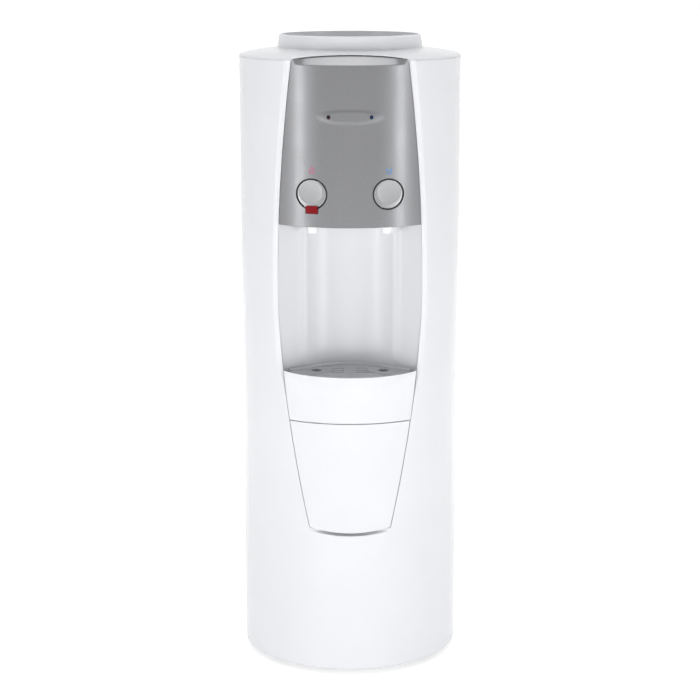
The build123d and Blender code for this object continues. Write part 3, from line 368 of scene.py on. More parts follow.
def columnSkin():
    # a row for each point of the opening's outline: its inturned edge, the strip, then round to the back
    c, s = column, skin
    px, pz, nx, nz = openingOutline()
    count = len(px)

    def at(q, depth=0.0):
        x, z = px + nx * q, pz + nz * q
        return joined(x, columnFace(x, z) + depth, z)

    isFoot = np.abs(nz) > 0.01
    strip = arcAt(c["radius"], bevelDepth(pz)) - np.abs(px)
    strip = np.clip(np.where(isFoot, 0.0, strip), 0.0, None)
    lip, step = s["lip"], s["step"]
    roll = np.clip(s["rollShare"] * strip, 0.5 * step, s["roll"])
    far = np.maximum(strip - roll, lip + step)
    wallBack = at(0.0, s["returnWall"])
    edge = bezier(at(0.0, lip), at(0.0), at(lip), 6)
    beyond = np.maximum(strip + roll, far + 2.5 * step)
    outerEdge = bezier(at(far), at(np.maximum(strip, far + step)), at(beyond), 7)
    start = outerEdge[:, -1]
    middle = edge[:, -1] * 0.5 + outerEdge[:, 0] * 0.5
    theta0 = np.arctan2(start[:, 0], -start[:, 1])
    back = math.atan2(arcAt(c["radius"], c["backFace"]), -c["backFace"])
    top, low = c["top"], c["bottom"]
    sideEnd = s["sideRows"] - 1
    k = np.arange(count)
    corner = pz[sideEnd]
    edgeZ = np.where(isFoot, low, low + (pz - corner) * (top - low) / (top - corner))
    footT = np.clip((k - sideEnd) / (count - 1 - 2 * sideEnd), 0, 1)
    edgeTheta = back * (1 - 2 * footT)
    edgeZ[sideEnd] = edgeZ[count - 1 - sideEnd] = low
    t = shares(s["surfaceColumns"])[1:]
    theta = theta0[:, None] + (edgeTheta - theta0)[:, None] * t
    z = start[:, 2][:, None] + (edgeZ - start[:, 2])[:, None] * t
    r = c["radius"] - crease(np.sin(theta) * c["radius"], z) * (np.cos(theta) > 0)
    surface = joined(r * np.sin(theta), -r * np.cos(theta), z)
    end = surface[:, -1]
    onSide = ~isFoot | (k == sideEnd) | (k == count - 1 - sideEnd)
    sign = np.where(k < count / 2, 1.0, -1.0)
    # behind, the sheet folds in to a flange at the sides and a narrow rim at the bottom
    flange = joined(np.where(onSide, sign * c["flangeIn"], end[:, 0] * s["foldIn"]),
                    np.where(onSide, c["backFace"], end[:, 1] * s["foldIn"]),
                    end[:, 2] + np.where(onSide, 0, 0.5 * step))
    outer = np.concatenate([wallBack[:, None], edge, middle[:, None], outerEdge, surface,
                            flange[:, None]], 1)
    # the inner skin, a wall's thickness behind
    w = c["wall"]
    innerEdge = np.repeat(at(w, w)[:, None], 6, 1)
    first = wallBack + joined(nx, 0, nz) * w
    shrink = np.array([(c["radius"] - w) / c["radius"]] * 2 + [1.0])
    innerMiddle = shifted(middle, w)
    innerFlange = np.where(onSide[:, None], shifted(flange, -w), shifted(flange, 0, w))
    inner = np.concatenate([first[:, None], innerEdge, innerMiddle[:, None], outerEdge * shrink,
                            surface * shrink, innerFlange[:, None]], 1)
    return newPiece("columnSkin", *walled(outer, inner))


columnSkinPiece = columnSkin()
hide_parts("cabinet_shell")
print("column skin done")


# top cover: dome, bottle collar and the brow over the panel
cover = dict(rim=863.0, round=4.0, rise=7.0, middleRise=0.72, collarOut=100.0, collarTop=889.0, collarIn=95.5,
             flare=1.4, browHalf=80.2, browMid=130.0, back=135.0, seam=859.0, thick=3.0, frontThick=1.1,
             lip=0.6, rimRound=1.0, rimFlat=3.3, rimTuck=0.8, rimDrop=2.5, footUp=2.0, footOut=2.2,
             collarDown=3.0, frontColumns=97, sideColumns=101, backColumns=61)


def circleThrough(p, q, r):
    # centre and radius of the circle through three points, from the lines midway between them
    p, q, r = np.array(p), np.array(q), np.array(r)
    centre = np.linalg.solve(np.array([q - p, r - p]) * 2, np.array([q @ q - p @ p, r @ r - p @ p]))
    return centre, np.hypot(*(p - centre))


domeEdge = column["radius"] - cover["round"]
domeCentre, domeRadius = circleThrough(
    (domeEdge, cover["rim"]),
    ((domeEdge + cover["collarOut"]) / 2, cover["rim"] + cover["middleRise"] * cover["rise"]),
    (cover["collarOut"], cover["rim"] + cover["rise"]))


def domeHeight(r):
    # the dome is an arc in section, rolled over into the column's wall by a small round
    r = np.asarray(r, float)
    dome = domeCentre[1] + np.sqrt(np.clip(domeRadius ** 2 - (r - domeCentre[0]) ** 2, 0, None))
    roll = cover["seam"] + np.sqrt(np.clip(cover["round"] ** 2 - (r - domeEdge) ** 2, 0, None))
    return np.where(r > domeEdge, roll, dome)


def browDepth(x):
    # the bowed front edge seen from above: furthest back in the middle
    side = arcAt(column["radius"], cover["browHalf"])
    return cover["browMid"] + (side - cover["browMid"]) * (x / cover["browHalf"]) ** 2


def browRadius(angle):
    # distance from the axis to that edge in a direction, closed in on in a few steps
    r = cover["browMid"] / np.cos(angle)
    for step in range(8):
        r = browDepth(r * np.sin(angle)) / np.cos(angle)
    return r


def topCover():
    # each direction round the axis has its own section, from the collar's bore out to the edge
    c = cover
    cornerAngle = math.asin(c["browHalf"] / column["radius"])
    backAngle = math.pi - math.acos(c["back"] / column["radius"])
    front = np.linspace(-cornerAngle, cornerAngle, c["frontColumns"])
    side = np.linspace(cornerAngle, backAngle, c["sideColumns"])[1:]
    back = np.linspace(backAngle, 2 * math.pi - backAngle, c["backColumns"])[1:]
    other = np.linspace(2 * math.pi - backAngle, 2 * math.pi - cornerAngle, c["sideColumns"])[1:-1]
    angle = np.concatenate([front, side, back, other])
    cosA = np.cos(angle)
    isFront = np.abs(np.angle(np.exp(1j * angle))) <= cornerAngle + 1e-9
    isBack = cosA < math.cos(backAngle) + 1e-9
    reach = np.full(len(angle), column["radius"])
    reach = np.where(isFront, np.minimum(browRadius(np.where(isFront, angle, 0.0)), reach), reach)
    reach = np.where(isBack, c["back"] / np.maximum(-cosA, 1e-6), reach)
    topEdge = domeHeight(reach)
    low = np.where(isFront, np.maximum(topEdge - c["frontThick"], c["seam"]), c["seam"])
    lip = np.minimum(c["lip"], 0.45 * (topEdge - low) + 0.02)
    one = np.ones(len(angle))

    def ring(r, z):
        return joined(r * one, z * one)

    # the collar's section: up the bore, over the rounded rim, down the outside and out into the dome
    base, out, top, inside = c["rim"] + c["rise"], c["collarOut"], c["collarTop"], c["collarIn"]
    under, rimRound = c["seam"] - c["collarDown"], c["rimRound"]
    skirt, heel, start = base + c["footUp"], out + c["flare"], out + c["flare"] + c["footOut"]
    neck, fall = out - c["rimTuck"], top - c["rimDrop"]
    wall = [ring(inside, under), ring(inside, base), ring(inside, top - rimRound)]
    rimIn = bezier(ring(inside, top - rimRound), ring(inside, top), ring(inside + rimRound, top), 5)
    rimOut = bezier(ring(out - c["rimFlat"], top), ring(out - rimRound, top), ring(neck, fall), 9)
    outer = [ring(neck + (heel - neck) * t, fall + (skirt - fall) * t) for t in (0.35, 0.7)]
    foot = bezier(ring(heel - 0.1, skirt), ring(heel, base), ring(start, domeHeight(start)), 7)
    # the dome's rings lie closer together towards its edge
    t = 1 - (1 - shares(34)[1:-1]) ** 1.6
    radii = start + (reach[:, None] - lip[:, None] - start) * t
    dome = joined(radii, domeHeight(radii))
    edgeIn = joined(reach - lip, domeHeight(reach - lip))
    edge = bezier(edgeIn, joined(reach, domeHeight(reach)), joined(reach, topEdge - lip), 6)
    hem = joined(reach, low)
    outerSkin = np.concatenate([np.stack(wall, 1), rimIn[:, 1:], rimOut, np.stack(outer, 1), foot, dome, edge,
                                hem[:, None]], 1)
    # the hidden side lies a wall's thickness below and behind
    thick, middle = c["thick"], (inside + out) / 2

    def again(point, count):
        return np.repeat(point[:, None], count, 1)

    innerWall = np.stack([ring(inside + 0.01, under)] + [ring(out - 1.6, base - 1.0)] * 2, 1)
    innerTop = again(ring(middle, top - thick), rimIn.shape[1] - 1 + rimOut.shape[1])
    innerOuter = again(ring(middle + 0.4, base), 2)
    innerFoot = again(ring(out, base - thick), foot.shape[1])
    innerDome = joined(np.minimum(radii, reach[:, None] - thick), domeHeight(radii) - thick)
    innerEdge = again(joined(reach - thick, np.maximum(topEdge - thick, low)), 6)
    innerHem = again(joined(reach - thick, low), 1)
    innerSkin = np.concatenate([innerWall, innerTop, innerOuter, innerFoot, innerDome, innerEdge,
                                innerHem], 1)

    def turned(profile):
        # carries each direction's own profile of (distance from the axis, height) round the axis
        r = profile[..., 0]
        return joined(r * np.sin(angle)[:, None], -r * cosA[:, None], profile[..., 1])

    return newPiece("topCover", *walled(turned(outerSkin), turned(innerSkin), wrapU=True), sharp=32.0)


topCoverPiece = topCover()
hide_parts("top_cover")
print("top cover done")


# control panel: a face with two bores and a raised pad for the lamps, and a sloped top
panel = dict(radius=151.0, low=637.0, high=853.5, gap=0.4, thick=2.6, buttonX=51.6, buttonZ=682.0, bore=21.3,
             boreDepth=3.2, boreRound=0.5, slotHalf=8.5, slotLow=655.4, zoneX=(27.6, 75.6),
             zoneZ=(650.0, 714.0), bossZ=785.5, bossHalf=46.6, bossRise=10.5, bossUp=1.2, bossEdge=0.58,
             bossPower=2.6, bossReach=13.0, cornerRound=1.2, topRound=5.0, topStop=0.8, slopeRound=1.1,
             slopeTuck=1.6, slopeGap=0.35, footRound=0.4, footDepth=6.0, middleColumns=57, zoneColumns=25,
             sideColumns=15, zoneRows=33)


def bossHeight(x, z):
    # a flattened oval pad with a wide soft shoulder: full height in the middle, none from the oval outwards
    p = panel
    across = np.abs(x / p["bossHalf"]) ** p["bossPower"]
    share = np.sqrt(across + ((z - p["bossZ"]) / p["bossRise"]) ** 2)
    return p["bossUp"] * (1 - smoothStep(p["bossEdge"], 1.0, share))


def panelDepth(x, z):
    # how far forward the panel's face lies, with its pad
    return -arcAt(panel["radius"] + bossHeight(x, z), x)


def panelColumns(z):
    # column lines of the panel at a height: fixed across the button zones, squeezed outside them
    p, (a, b) = panel, panel["zoneX"]
    middle = np.linspace(-a, a, p["middleColumns"])
    zone = np.linspace(a, b, p["zoneColumns"])[1:]
    r = p["cornerRound"]
    below = np.clip(p["high"] - z, 0, r)
    edge = halfWidth(z) - p["gap"] - (r - np.sqrt(np.clip(r ** 2 - (r - below) ** 2, 0, None)))
    outside = b + (edge - b) * shares(p["sideColumns"])[1:] ** 0.9
    right = np.concatenate([zone, outside])
    return np.concatenate([-right[::-1], middle, right])


def panelRing(side):
    # the ring of face between one button's bore and the rectangle round it, then the bore's wall
    p, (a, b), (z0, z1) = panel, panel["zoneX"], panel["zoneZ"]
    x0, x1 = (a, b) if side > 0 else (-b, -a)
    wide, tall = p["zoneColumns"], p["zoneRows"]
    xs, zs = np.linspace(x0, x1, wide), np.linspace(z0, z1, tall)
    borderX = np.concatenate([xs, np.full(tall - 2, x1), xs[::-1], np.full(tall - 2, x0)])
    borderZ = np.concatenate([np.full(wide, z0), zs[1:-1], np.full(wide, z1), zs[1:-1][::-1]])
    cx, cz = side * p["buttonX"], p["buttonZ"]
    phi = np.arctan2(borderZ - cz, borderX - cx)
    radius = np.full(len(phi), p["bore"])
    if side < 0:  # the lock's slot runs down out of the bore on the hot side
        deep = cz - p["slotLow"]
        corner = math.atan2(-deep, p["slotHalf"])
        for want in (corner, -math.pi - corner):
            phi[np.argmin(np.abs(phi - want))] = want
        down = np.where(np.sin(phi) < 0, deep / np.maximum(-np.sin(phi), 1e-6), 0)
        across = p["slotHalf"] / np.maximum(np.abs(np.cos(phi)), 1e-6)
        radius = np.maximum(radius, np.where(np.sin(phi) < -0.3, np.minimum(down, across), 0))
    inX, inZ = cx + radius * np.cos(phi), cz + radius * np.sin(phi)
    t = np.concatenate([[0.03, 0.07], np.linspace(0.12, 1, 11)])
    x = inX[:, None] + (borderX - inX)[:, None] * t
    z = inZ[:, None] + (borderZ - inZ)[:, None] * t
    face = joined(x, panelDepth(x, z), z)
    rimPoint = joined(inX, panelDepth(inX, inZ), inZ)
    roll = bezier(shifted(rimPoint, p["boreRound"]), rimPoint, face[:, 0], 4)[:, :3]
    wall = [shifted(rimPoint, share * p["boreDepth"])[:, None] for share in (1, 0.5)]
    return np.concatenate(wall + [roll, face], 1)


def controlPanel():
    # rows up the face, over its top edge and back along the slope, with a ring of cells round each bore
    p, (z0, z1) = panel, panel["zoneZ"]
    foot, nearTop = p["low"] + p["footRound"], p["high"] - p["topRound"]
    bossLow, bossHigh = p["bossZ"] - p["bossReach"], p["bossZ"] + p["bossReach"]
    rows = np.concatenate([foot + (z0 - foot) * shares(8)[:-1], np.linspace(z0, z1, p["zoneRows"]),
                           np.linspace(z1, bossLow, 24)[1:-1], np.linspace(bossLow, bossHigh, 53),
                           np.linspace(bossHigh, nearTop, 21)[1:],
                           nearTop + (p["topRound"] - p["topStop"]) * shares(13)[1:] ** 0.8])
    x = np.stack([panelColumns(z) for z in rows])
    z = rows[:, None]
    face = joined(x, panelDepth(x, z), z)
    bottom = shifted(face[0], p["footRound"], -p["footRound"])
    bottomBack = shifted(face[0], p["footDepth"], -p["footRound"])
    # the sloped top: rolled over at its front edge, then straight back and up to the cover's underside
    edgeX = x[-1]
    front = joined(edgeX, -arcAt(p["radius"], edgeX), p["high"])
    depth = browDepth(edgeX)
    farZ = np.maximum(domeHeight(np.hypot(edgeX, depth)) - cover["frontThick"], cover["seam"]) - p["slopeGap"]
    far = joined(edgeX, np.maximum(-depth + p["slopeTuck"], front[:, 1]), farZ)
    run = (far - front) / np.linalg.norm(far - front, axis=1, keepdims=True)
    over = front + run * p["slopeRound"]
    roll = bezier(face[-1], front, over, 6).transpose(1, 0, 2)[1:]
    slope = over[None] + (far - over)[None] * shares(18)[1:, None, None]
    grid = np.concatenate([bottomBack[None], bottom[None], face, roll, slope])
    nu, nv = grid.shape[:2]
    quads = gridQuads(nu, nv)
    # leave out the cells of the two button zones
    rowStart = 2 + int(np.argmin(np.abs(rows - z0)))
    u, v = quads[:, 0] // nv, quads[:, 0] % nv
    leftEnd, wide = (nv - p["middleColumns"]) // 2, p["zoneColumns"] - 1
    rightStart = leftEnd + p["middleColumns"] - 1
    right = (v >= rightStart) & (v < rightStart + wide)
    left = (v < leftEnd) & (v >= leftEnd - wide)
    quads = quads[~((u >= rowStart) & (u < rowStart + p["zoneRows"] - 1) & (right | left))]
    points, faces, start = [grid.reshape(-1, 3)], [quads], nu * nv
    for side in (-1, 1):
        ring = panelRing(side)
        faces.append(gridQuads(*ring.shape[:2], wrapU=True, start=start)[:, ::-1])
        points.append(ring.reshape(-1, 3))
        start += ring.shape[0] * ring.shape[1]
    points, faces = np.concatenate(points), np.concatenate(faces)
    return newPiece("controlPanel", points, faces, slot="silver_paint", sharp=30.0)


controlPanelPiece = controlPanel()
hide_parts("control_panel")
print("control panel done")


# dispensing niche: a cove with a rounded upright and a flat wing on each side
niche = dict(coveMid=60.0, coveX=61.0, coveY=89.0, ridgeX=69.0, ridgeY=91.0, wingX=115.0, wingSlope=0.767,
             innerRound=3.6, outerRound=3.8, floor=396.2, trayLevel=440.0, ceiling=650.0, thick=2.2, gap=0.5,
             plateGap=1.2, plateTuck=0.2, ceilingThick=2.0, ceilingTuck=0.6, floorThick=2.5, floorBack=12.0,
             floorLift=0.1, plateRows=12)


def nichePlan():
    # right half of the plan from the middle out: cove arc, rounded upright, then the wing's start and course
    n = niche
    sag = n["coveY"] - n["coveMid"]
    big = (n["coveX"] ** 2 + sag ** 2) / (2 * sag)
    a = np.linspace(0, math.asin(n["coveX"] / big), 40)
    cove = joined(big * np.sin(a), -(n["coveMid"] + big - big * np.cos(a)))
    far = np.array([n["wingX"], -(n["ridgeY"] + (n["wingX"] - n["ridgeX"]) * n["wingSlope"])])
    corner1, corner2 = np.array([n["coveX"], -n["coveY"]]), np.array([n["ridgeX"], -n["ridgeY"]])

    def rounded(before, corner, after, r):
        u1, u2 = before - corner, after - corner
        u1, u2 = u1 / np.linalg.norm(u1), u2 / np.linalg.norm(u2)
        return bezier((corner + u1 * r)[None], corner[None], (corner + u2 * r)[None], 11)[0]

    first = rounded(cove[-8], corner1, corner2, n["innerRound"])
    second = rounded(corner1, corner2, far, n["outerRound"])
    keep = cove[np.linalg.norm(cove - corner1, axis=1) > n["innerRound"]]
    end = second[-1]
    return np.concatenate([keep, first, second]), end, (far - end) / np.linalg.norm(far - end)


def wingPoints(x, end, along):
    return joined(x, end[1] + (x - end[0]) * along[1] / along[0])


def mirrored(right):
    # the left half of a plan's line, then its right half
    return np.concatenate([right[..., :0:-1, :] * np.array([-1.0, 1.0]), right], -2)


def fullPlan(limit, count):
    # both halves of the plan as one line, with the wings cut off at a half width
    core, end, along = nichePlan()
    wing = wingPoints(np.linspace(end[0], limit, count)[1:], end, along)
    return mirrored(np.concatenate([core, wing]))


def sideways(line, axis):
    # unit directions square to a plan's line
    tangent = np.gradient(line, axis=axis)
    normal = joined(-tangent[..., 1], tangent[..., 0])
    return normal / np.linalg.norm(normal, axis=-1, keepdims=True)


def nicheWalls():
    # the plan carried up, its wings cut to the opening's width at each height
    n = niche
    core, end, along = nichePlan()
    z = np.concatenate([np.linspace(n["floor"], n["trayLevel"], 12)[:-1],
                        np.linspace(n["trayLevel"], n["ceiling"], 60)])
    limit = halfWidth(z) - n["gap"]
    wing = wingPoints(end[0] + (limit[:, None] - end[0]) * shares(16)[1:], end, along)
    plan = mirrored(np.concatenate([np.repeat(core[None], len(z), 0), wing], 1))
    grid = joined(plan[..., 0], plan[..., 1], z[:, None])
    behind = grid.copy()
    behind[..., :2] += sideways(plan, 1) * n["thick"]
    # the walls take the darker copy of the white: painted shade
    return newPiece("nicheWalls", *walled(grid, behind), look="white_niche_shaded", sharp=40.0)


def nichePlate(name, level, thick, reach):
    # a flat lid or floor of the niche, from the plan of its walls forward to a cylinder of that reach
    plan = fullPlan(halfWidth(level) - niche["plateGap"], 10)
    front = np.minimum(-arcAt(reach, plan[:, 0]), plan[:, 1] - niche["plateTuck"])
    t = shares(niche["plateRows"])
    y = plan[:, 1][:, None] + (front - plan[:, 1])[:, None] * t
    face = joined(plan[:, :1], y, level)
    # the lid and floor take the darker copy of the white: painted shade
    newPiece(name, *walled(face, shifted(face, 0, thick)), look="white_niche_shaded")


nicheWallsPiece = nicheWalls()
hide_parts("alcove_liner")
ceilingReach = panel["radius"] - panel["thick"] - niche["ceilingTuck"]
floorReach = column["radius"] - niche["floorBack"]
nichePlate("nicheCeiling", niche["ceiling"], niche["ceilingThick"], ceilingReach)
nichePlate("nicheFloor", niche["floor"] + niche["floorLift"], -niche["floorThick"], floorReach)
print("niche done")


# drip tray: a front that flares out of the column's wall into a lip, and a basin behind it
tray = dict(rim=434.6, split=366.0, reach=171.0, drop=24.0, gap=0.6, wall=2.5, floor=396.9, blendMid=9.0,
            blendSide=0.8, rimRound=1.0, ledgeIn=0.2, ledgeRound=0.7, ledgeDrop=1.0, footIn=0.6, footDown=0.5,
            footTaper=0.8, backShare=0.985, rows=64, columns=121, basinSide=2.6, basinGap=1.3, basinWall=2.2,
            basinFloor=2.4, basinDown=2.1, basinRound=1.6, basinSlack=0.3, apronUp=6.0)


def trayOutside(x, z):
    # depth of the tray's front: the column's own wall, softly joined to the lip's cone that flares out above
    t, radius = tray, column["radius"]
    w = halfWidth(t["rim"])
    edge = arcAt(radius, w)
    centre = (t["reach"] ** 2 - w ** 2 - edge ** 2) / (2 * (t["reach"] - edge))
    r = t["reach"] - centre - (t["reach"] - radius) * (t["rim"] - z) / t["drop"]
    cone = centre + np.sqrt(np.clip(r ** 2 - x ** 2, 1.0, None))
    wall = arcAt(radius, x)
    soft = t["blendSide"] + (t["blendMid"] - t["blendSide"]) * (1 - smoothStep(0.0, 0.85, np.abs(x) / w))
    h = np.clip(0.5 + 0.5 * (cone - wall) / soft, 0, 1)
    return -(wall + (cone - wall) * h + soft * h * (1 - h))


def trayFront():
    # a closed section from side to side: up the apron, over the lip, down inside and back
    t = tray
    z = np.linspace(t["split"] + t["gap"], t["rim"] - t["rimRound"], t["rows"])
    k = np.linspace(-1, 1, t["columns"])
    k = np.sign(k) * (1 - (1 - np.abs(k)) ** 1.25)
    x = (halfWidth(z) - t["gap"])[:, None] * k
    face = joined(x, trayOutside(x, z[:, None]), z[:, None])
    under = shifted(face[0], t["footIn"], -t["footDown"])
    # over the lip: a small round, a narrow ledge, and down inside to the floor
    topX = x[-1]
    corner = joined(topX, trayOutside(topX, t["rim"]), t["rim"])
    roll = bezier(face[-1], corner, shifted(corner, t["rimRound"]), 6).transpose(1, 0, 2)[1:]
    deep, small = t["wall"] + t["ledgeIn"], t["ledgeRound"]
    ledge = shifted(corner, deep)
    ledgeRoll = bezier(shifted(ledge, -small), ledge, shifted(ledge, 0, -small), 4)
    inside = t["rim"] - t["ledgeDrop"]
    downZ = inside + (t["floor"] - inside) * shares(10)[1:, None]
    innerX = np.minimum(np.abs(topX), halfWidth(downZ) - t["gap"] - t["wall"]) * np.sign(topX)
    down = joined(innerX, trayOutside(innerX, downZ) + deep, downZ)
    # the hidden side of the apron closes the section
    z = z[z < t["floor"] - 1.0][::-1, None]
    backX = x[:len(z)][::-1] * t["backShare"]
    back = joined(backX, trayOutside(backX, z) + t["wall"], z)
    last = shifted(under, t["wall"] - t["footTaper"])
    profile = np.concatenate([under[None], face, roll, ledgeRoll.transpose(1, 0, 2), down, back, last[None]])
    quads = gridQuads(*profile.shape[:2], wrapU=True)
    return newPiece("trayFront", profile, quads, "drip_tray", sharp=40.0)


def trayBasin():
    # bowl behind the lip: a wall along the plan of the niche, and a floor that runs forward to the apron
    t = tray
    plan = fullPlan(halfWidth(t["floor"]) - t["basinSide"], 14)
    inward = -sideways(plan, 0)
    outside, inside = plan + inward * t["basinGap"], plan + inward * (t["basinGap"] + t["basinWall"])
    apron = trayOutside(inside[:, 0], t["floor"] + t["apronUp"]) + t["wall"]
    front = joined(inside[:, 0], np.minimum(apron, inside[:, 1] - t["basinSlack"]))

    def level(line, z):
        return joined(line[:, 0], line[:, 1], z)

    def bowl(wall, floor):
        steps = [level(wall + (front - wall) * k, floor) for k in shares(10)]
        return np.stack([level(wall, t["rim"] - t["basinDown"])] + steps)

    outerSkin, innerSkin = bowl(outside, t["floor"]), bowl(inside, t["floor"] + t["basinFloor"])
    crown = shifted((outerSkin[0] + innerSkin[0]) / 2, 0, t["basinRound"])
    edge = bezier(outerSkin[0], crown, innerSkin[0], 7).transpose(1, 0, 2)
    outerSkin = np.concatenate([edge[3:0:-1], outerSkin])
    innerSkin = np.concatenate([edge[3:6], innerSkin])
    newPiece("trayBasin", *walled(outerSkin, innerSkin), "drip_tray")


trayFrontPiece = trayFront()
trayBasin()
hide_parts("drip_tray")
print("drip tray done")


# lower panel: the column's own curve inside the lower end of the opening, its foot bowed like the opening's
lower = dict(top=365.2, gap=0.6, thick=2.4, edgeRound=0.45, sagLess=0.2, rows=56, columns=91)


def lowerPanel():
    p, o = lower, opening
    half, sag = halfWidth(footZ) - p["gap"], o["sag"] - p["sagLess"]
    arc = (half ** 2 + sag ** 2) / (2 * sag)
    k = np.linspace(-1, 1, p["columns"])
    t = shares(p["rows"])[:, None]
    foot = footZ + p["gap"] - sag + arc - arcAt(arc, half * k)
    z = foot + (p["top"] - foot) * t
    level = footZ + p["gap"] + (p["top"] - footZ - p["gap"]) * t
    x = (halfWidth(level) - p["gap"]) * k
    face = joined(x, -arcAt(column["radius"], x), z)
    quads = gridQuads(p["rows"], p["columns"])[:, ::-1]
    piece = newPiece("lowerPanel", face, quads, recalc=False)
    return thickened(piece, p["thick"], p["edgeRound"])


lowerPanelPiece = lowerPanel()
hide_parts("lower_panel")
print("lower panel done")


# push buttons: a round cap with a shallow dish and two keys on its rim, and a stem behind it
cap = dict(radius=19.5, x=51.6, z=682.0, faceIn=0.6, length=19.0, lip=0.9, dishRadius=16.3, dishOut=1.7,
           dishUp=2.6, dishDepth=1.3, keyReach=0.90, keyHalf=2.6, keyAngle=62.0, backShare=0.85, sides=160,
           stemRadius=5.0, stemTip=-123.4, stemRound=0.4, stemStart=0.5)


def turnedPiece(name, profile, centre, body, slot, sides=64, sharp=35.0):
    # a profile of (radius, depth) turned about an axis through the centre that runs from front to back
    a = roundTurn(sides)[:, None]
    r, depth = np.array(profile, float).T
    grid = joined(centre[0] + r * np.cos(a), centre[1] + depth, centre[2] + r * np.sin(a))
    return newPiece(name, grid, gridQuads(sides, len(profile), wrapU=True), body, slot, sharp=sharp)


def pushButton(side, name, node):
    # rings from the middle of the face out to the rim, round it and back along the skirt
    c = cap
    phi = roundTurn(c["sides"])
    key = np.zeros(len(phi))
    for turn in (c["keyAngle"], c["keyAngle"] + 180):
        off, half = np.abs(np.angle(np.exp(1j * (phi - math.radians(turn))))), math.radians(c["keyHalf"])
        key += 1 - smoothStep(half * 0.7, half * 1.3, off)
    radius = c["radius"] + c["keyReach"] * key
    cx = side * c["x"]
    t = shares(34)[1:] ** 0.85
    r = (radius - c["lip"])[:, None] * t
    x, z = cx + r * np.cos(phi)[:, None], c["z"] + r * np.sin(phi)[:, None]
    r0 = panel["radius"] - c["faceIn"]

    def depth(x, z):
        d = np.hypot(x - cx - side * c["dishOut"], z - c["z"] - c["dishUp"]) / c["dishRadius"]
        hollow = c["dishDepth"] * np.clip(1 - d ** 2, 0, None) ** 0.9 * smoothStep(1.02, 0.9, d)
        return hollow - arcAt(r0, x)

    face = joined(x, depth(x, z), z)
    rimX, rimZ = cx + radius * np.cos(phi), c["z"] + radius * np.sin(phi)
    rimY = -arcAt(r0, rimX)
    rim = joined(rimX, rimY, rimZ)
    roll = bezier(face[:, -1], rim, shifted(rim, c["lip"]), 6)[:, 1:]
    back = -panel["radius"] + c["length"]
    skirt = np.stack([joined(rimX, rimY + (back - rimY) * s, rimZ) for s in (0.3, 0.65, 1.0)], 1)
    r = c["backShare"] * radius
    inner = joined(cx + r * np.cos(phi), back, c["z"] + r * np.sin(phi))
    grid = np.concatenate([face, roll, skirt, inner[:, None]], 1)
    hubs = [[cx, depth(cx, c["z"]), c["z"]], [cx, back, c["z"]]]
    points = np.concatenate([grid.reshape(-1, 3), hubs])
    nu, nv = grid.shape[:2]
    # fans close the middle of the face and of the back
    first = np.arange(nu) * nv
    last = first + nv - 1
    faceFan = joined(first, np.roll(first, -1), nu * nv)
    backFan = joined(np.roll(last, -1), last, nu * nv + 1)
    faces = gridQuads(nu, nv, wrapU=True).tolist() + faceFan.tolist() + backFan.tolist()
    # the caps take the lighter copy of the panel's silver: painted light
    piece = newPiece(name, points, faces, node, "silver_paint", "silver_button_lit")
    wide, tip, small, start = c["stemRadius"], c["stemTip"], c["stemRound"], back - c["stemStart"]
    profile = [(0.0, start), (wide, start), (wide, tip - small), (wide - small, tip), (0.0, tip)]
    turnedPiece(name + "Stem", profile, (cx, 0, c["z"]), node, "white_satin")
    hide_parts(node)


pushButton(-1, "hotButton", "hot_button")
pushButton(1, "coldButton", "cold_button")
print("push buttons done")


# printed signs over the buttons: a drop on the hot side, a cup on the cold side
signs = dict(line=0.60, lift=0.05, sink=0.12, dropX=-51.0, dropZ=714.0, dropWide=3.7, dropTall=4.2,
             dropPoint=0.9, cupX=52.6, cupZ=713.5, cupWide=3.5, cupFoot=2.6, cupTall=3.8, waterHalf=2.5,
             waterUp=0.9, bow=0.35, steps=48)


def ribbon(name, path, half, slot, look, closed=True, lift=signs["lift"], sink=signs["sink"]):
    # a line: a path in (x, z) widened to a band that follows the panel's face
    p = np.asarray(path, float)
    tangent = np.roll(p, -1, 0) - np.roll(p, 1, 0) if closed else np.gradient(p, axis=0)
    tangent /= np.linalg.norm(tangent, axis=1, keepdims=True)
    normal = joined(-tangent[:, 1], tangent[:, 0])

    def on(q, lift):
        return joined(q[:, 0], panelDepth(q[:, 0], q[:, 1]) - lift, q[:, 1])

    inside, outside = p - normal * half, p + normal * half
    ring = np.stack([on(outside, lift), on(inside, lift), on(inside, -sink), on(outside, -sink)], 1)
    n = len(ring)
    faces = gridQuads(n, 4, wrapU=closed, wrapV=True).tolist()
    if not closed:
        faces += [[0, 1, 2, 3], [4 * n - 1, 4 * n - 2, 4 * n - 3, 4 * n - 4]]
    newPiece(name, ring, faces, "cabinet", slot, look, sharp=30.0)


def dropSign():
    # an upright drop: a round bowl drawn up to a point
    s = signs
    a = roundTurn(s["steps"])
    x = s["dropWide"] * np.sin(a) * np.sin(a / 2) ** s["dropPoint"]
    path = joined(s["dropX"] + x, s["dropZ"] + s["dropTall"] * np.cos(a))
    ribbon("hotSign", path, s["line"], "lock_red", "print_red")


def cupSign():
    # a tapered cup with a rounded foot, and a wavy level of water in it
    s = signs
    x, z, wide, foot = s["cupX"], s["cupZ"], s["cupWide"], s["cupFoot"]
    tall, water = s["cupTall"], s["waterHalf"]
    a = shares(12)
    left = joined(x - wide + (wide - foot) * a, z + tall - 2 * tall * a)
    under = joined(x - foot + 2 * foot * a, z - tall - s["bow"] * np.sin(math.pi * a))[1:-1]
    right = joined(x + foot + (wide - foot) * a, z - tall + 2 * tall * a)
    cup = np.concatenate([left, under, right])
    level = joined(x - water + 2 * water * a, z + s["waterUp"] + s["bow"] * np.sin(2 * math.pi * a))
    ribbon("coldSign", cup, s["line"], "lens_blue", "print_blue", closed=False)
    ribbon("coldSignLevel", level, s["line"], "lens_blue", "print_blue", closed=False)


dropSign()
cupSign()
print("signs done")
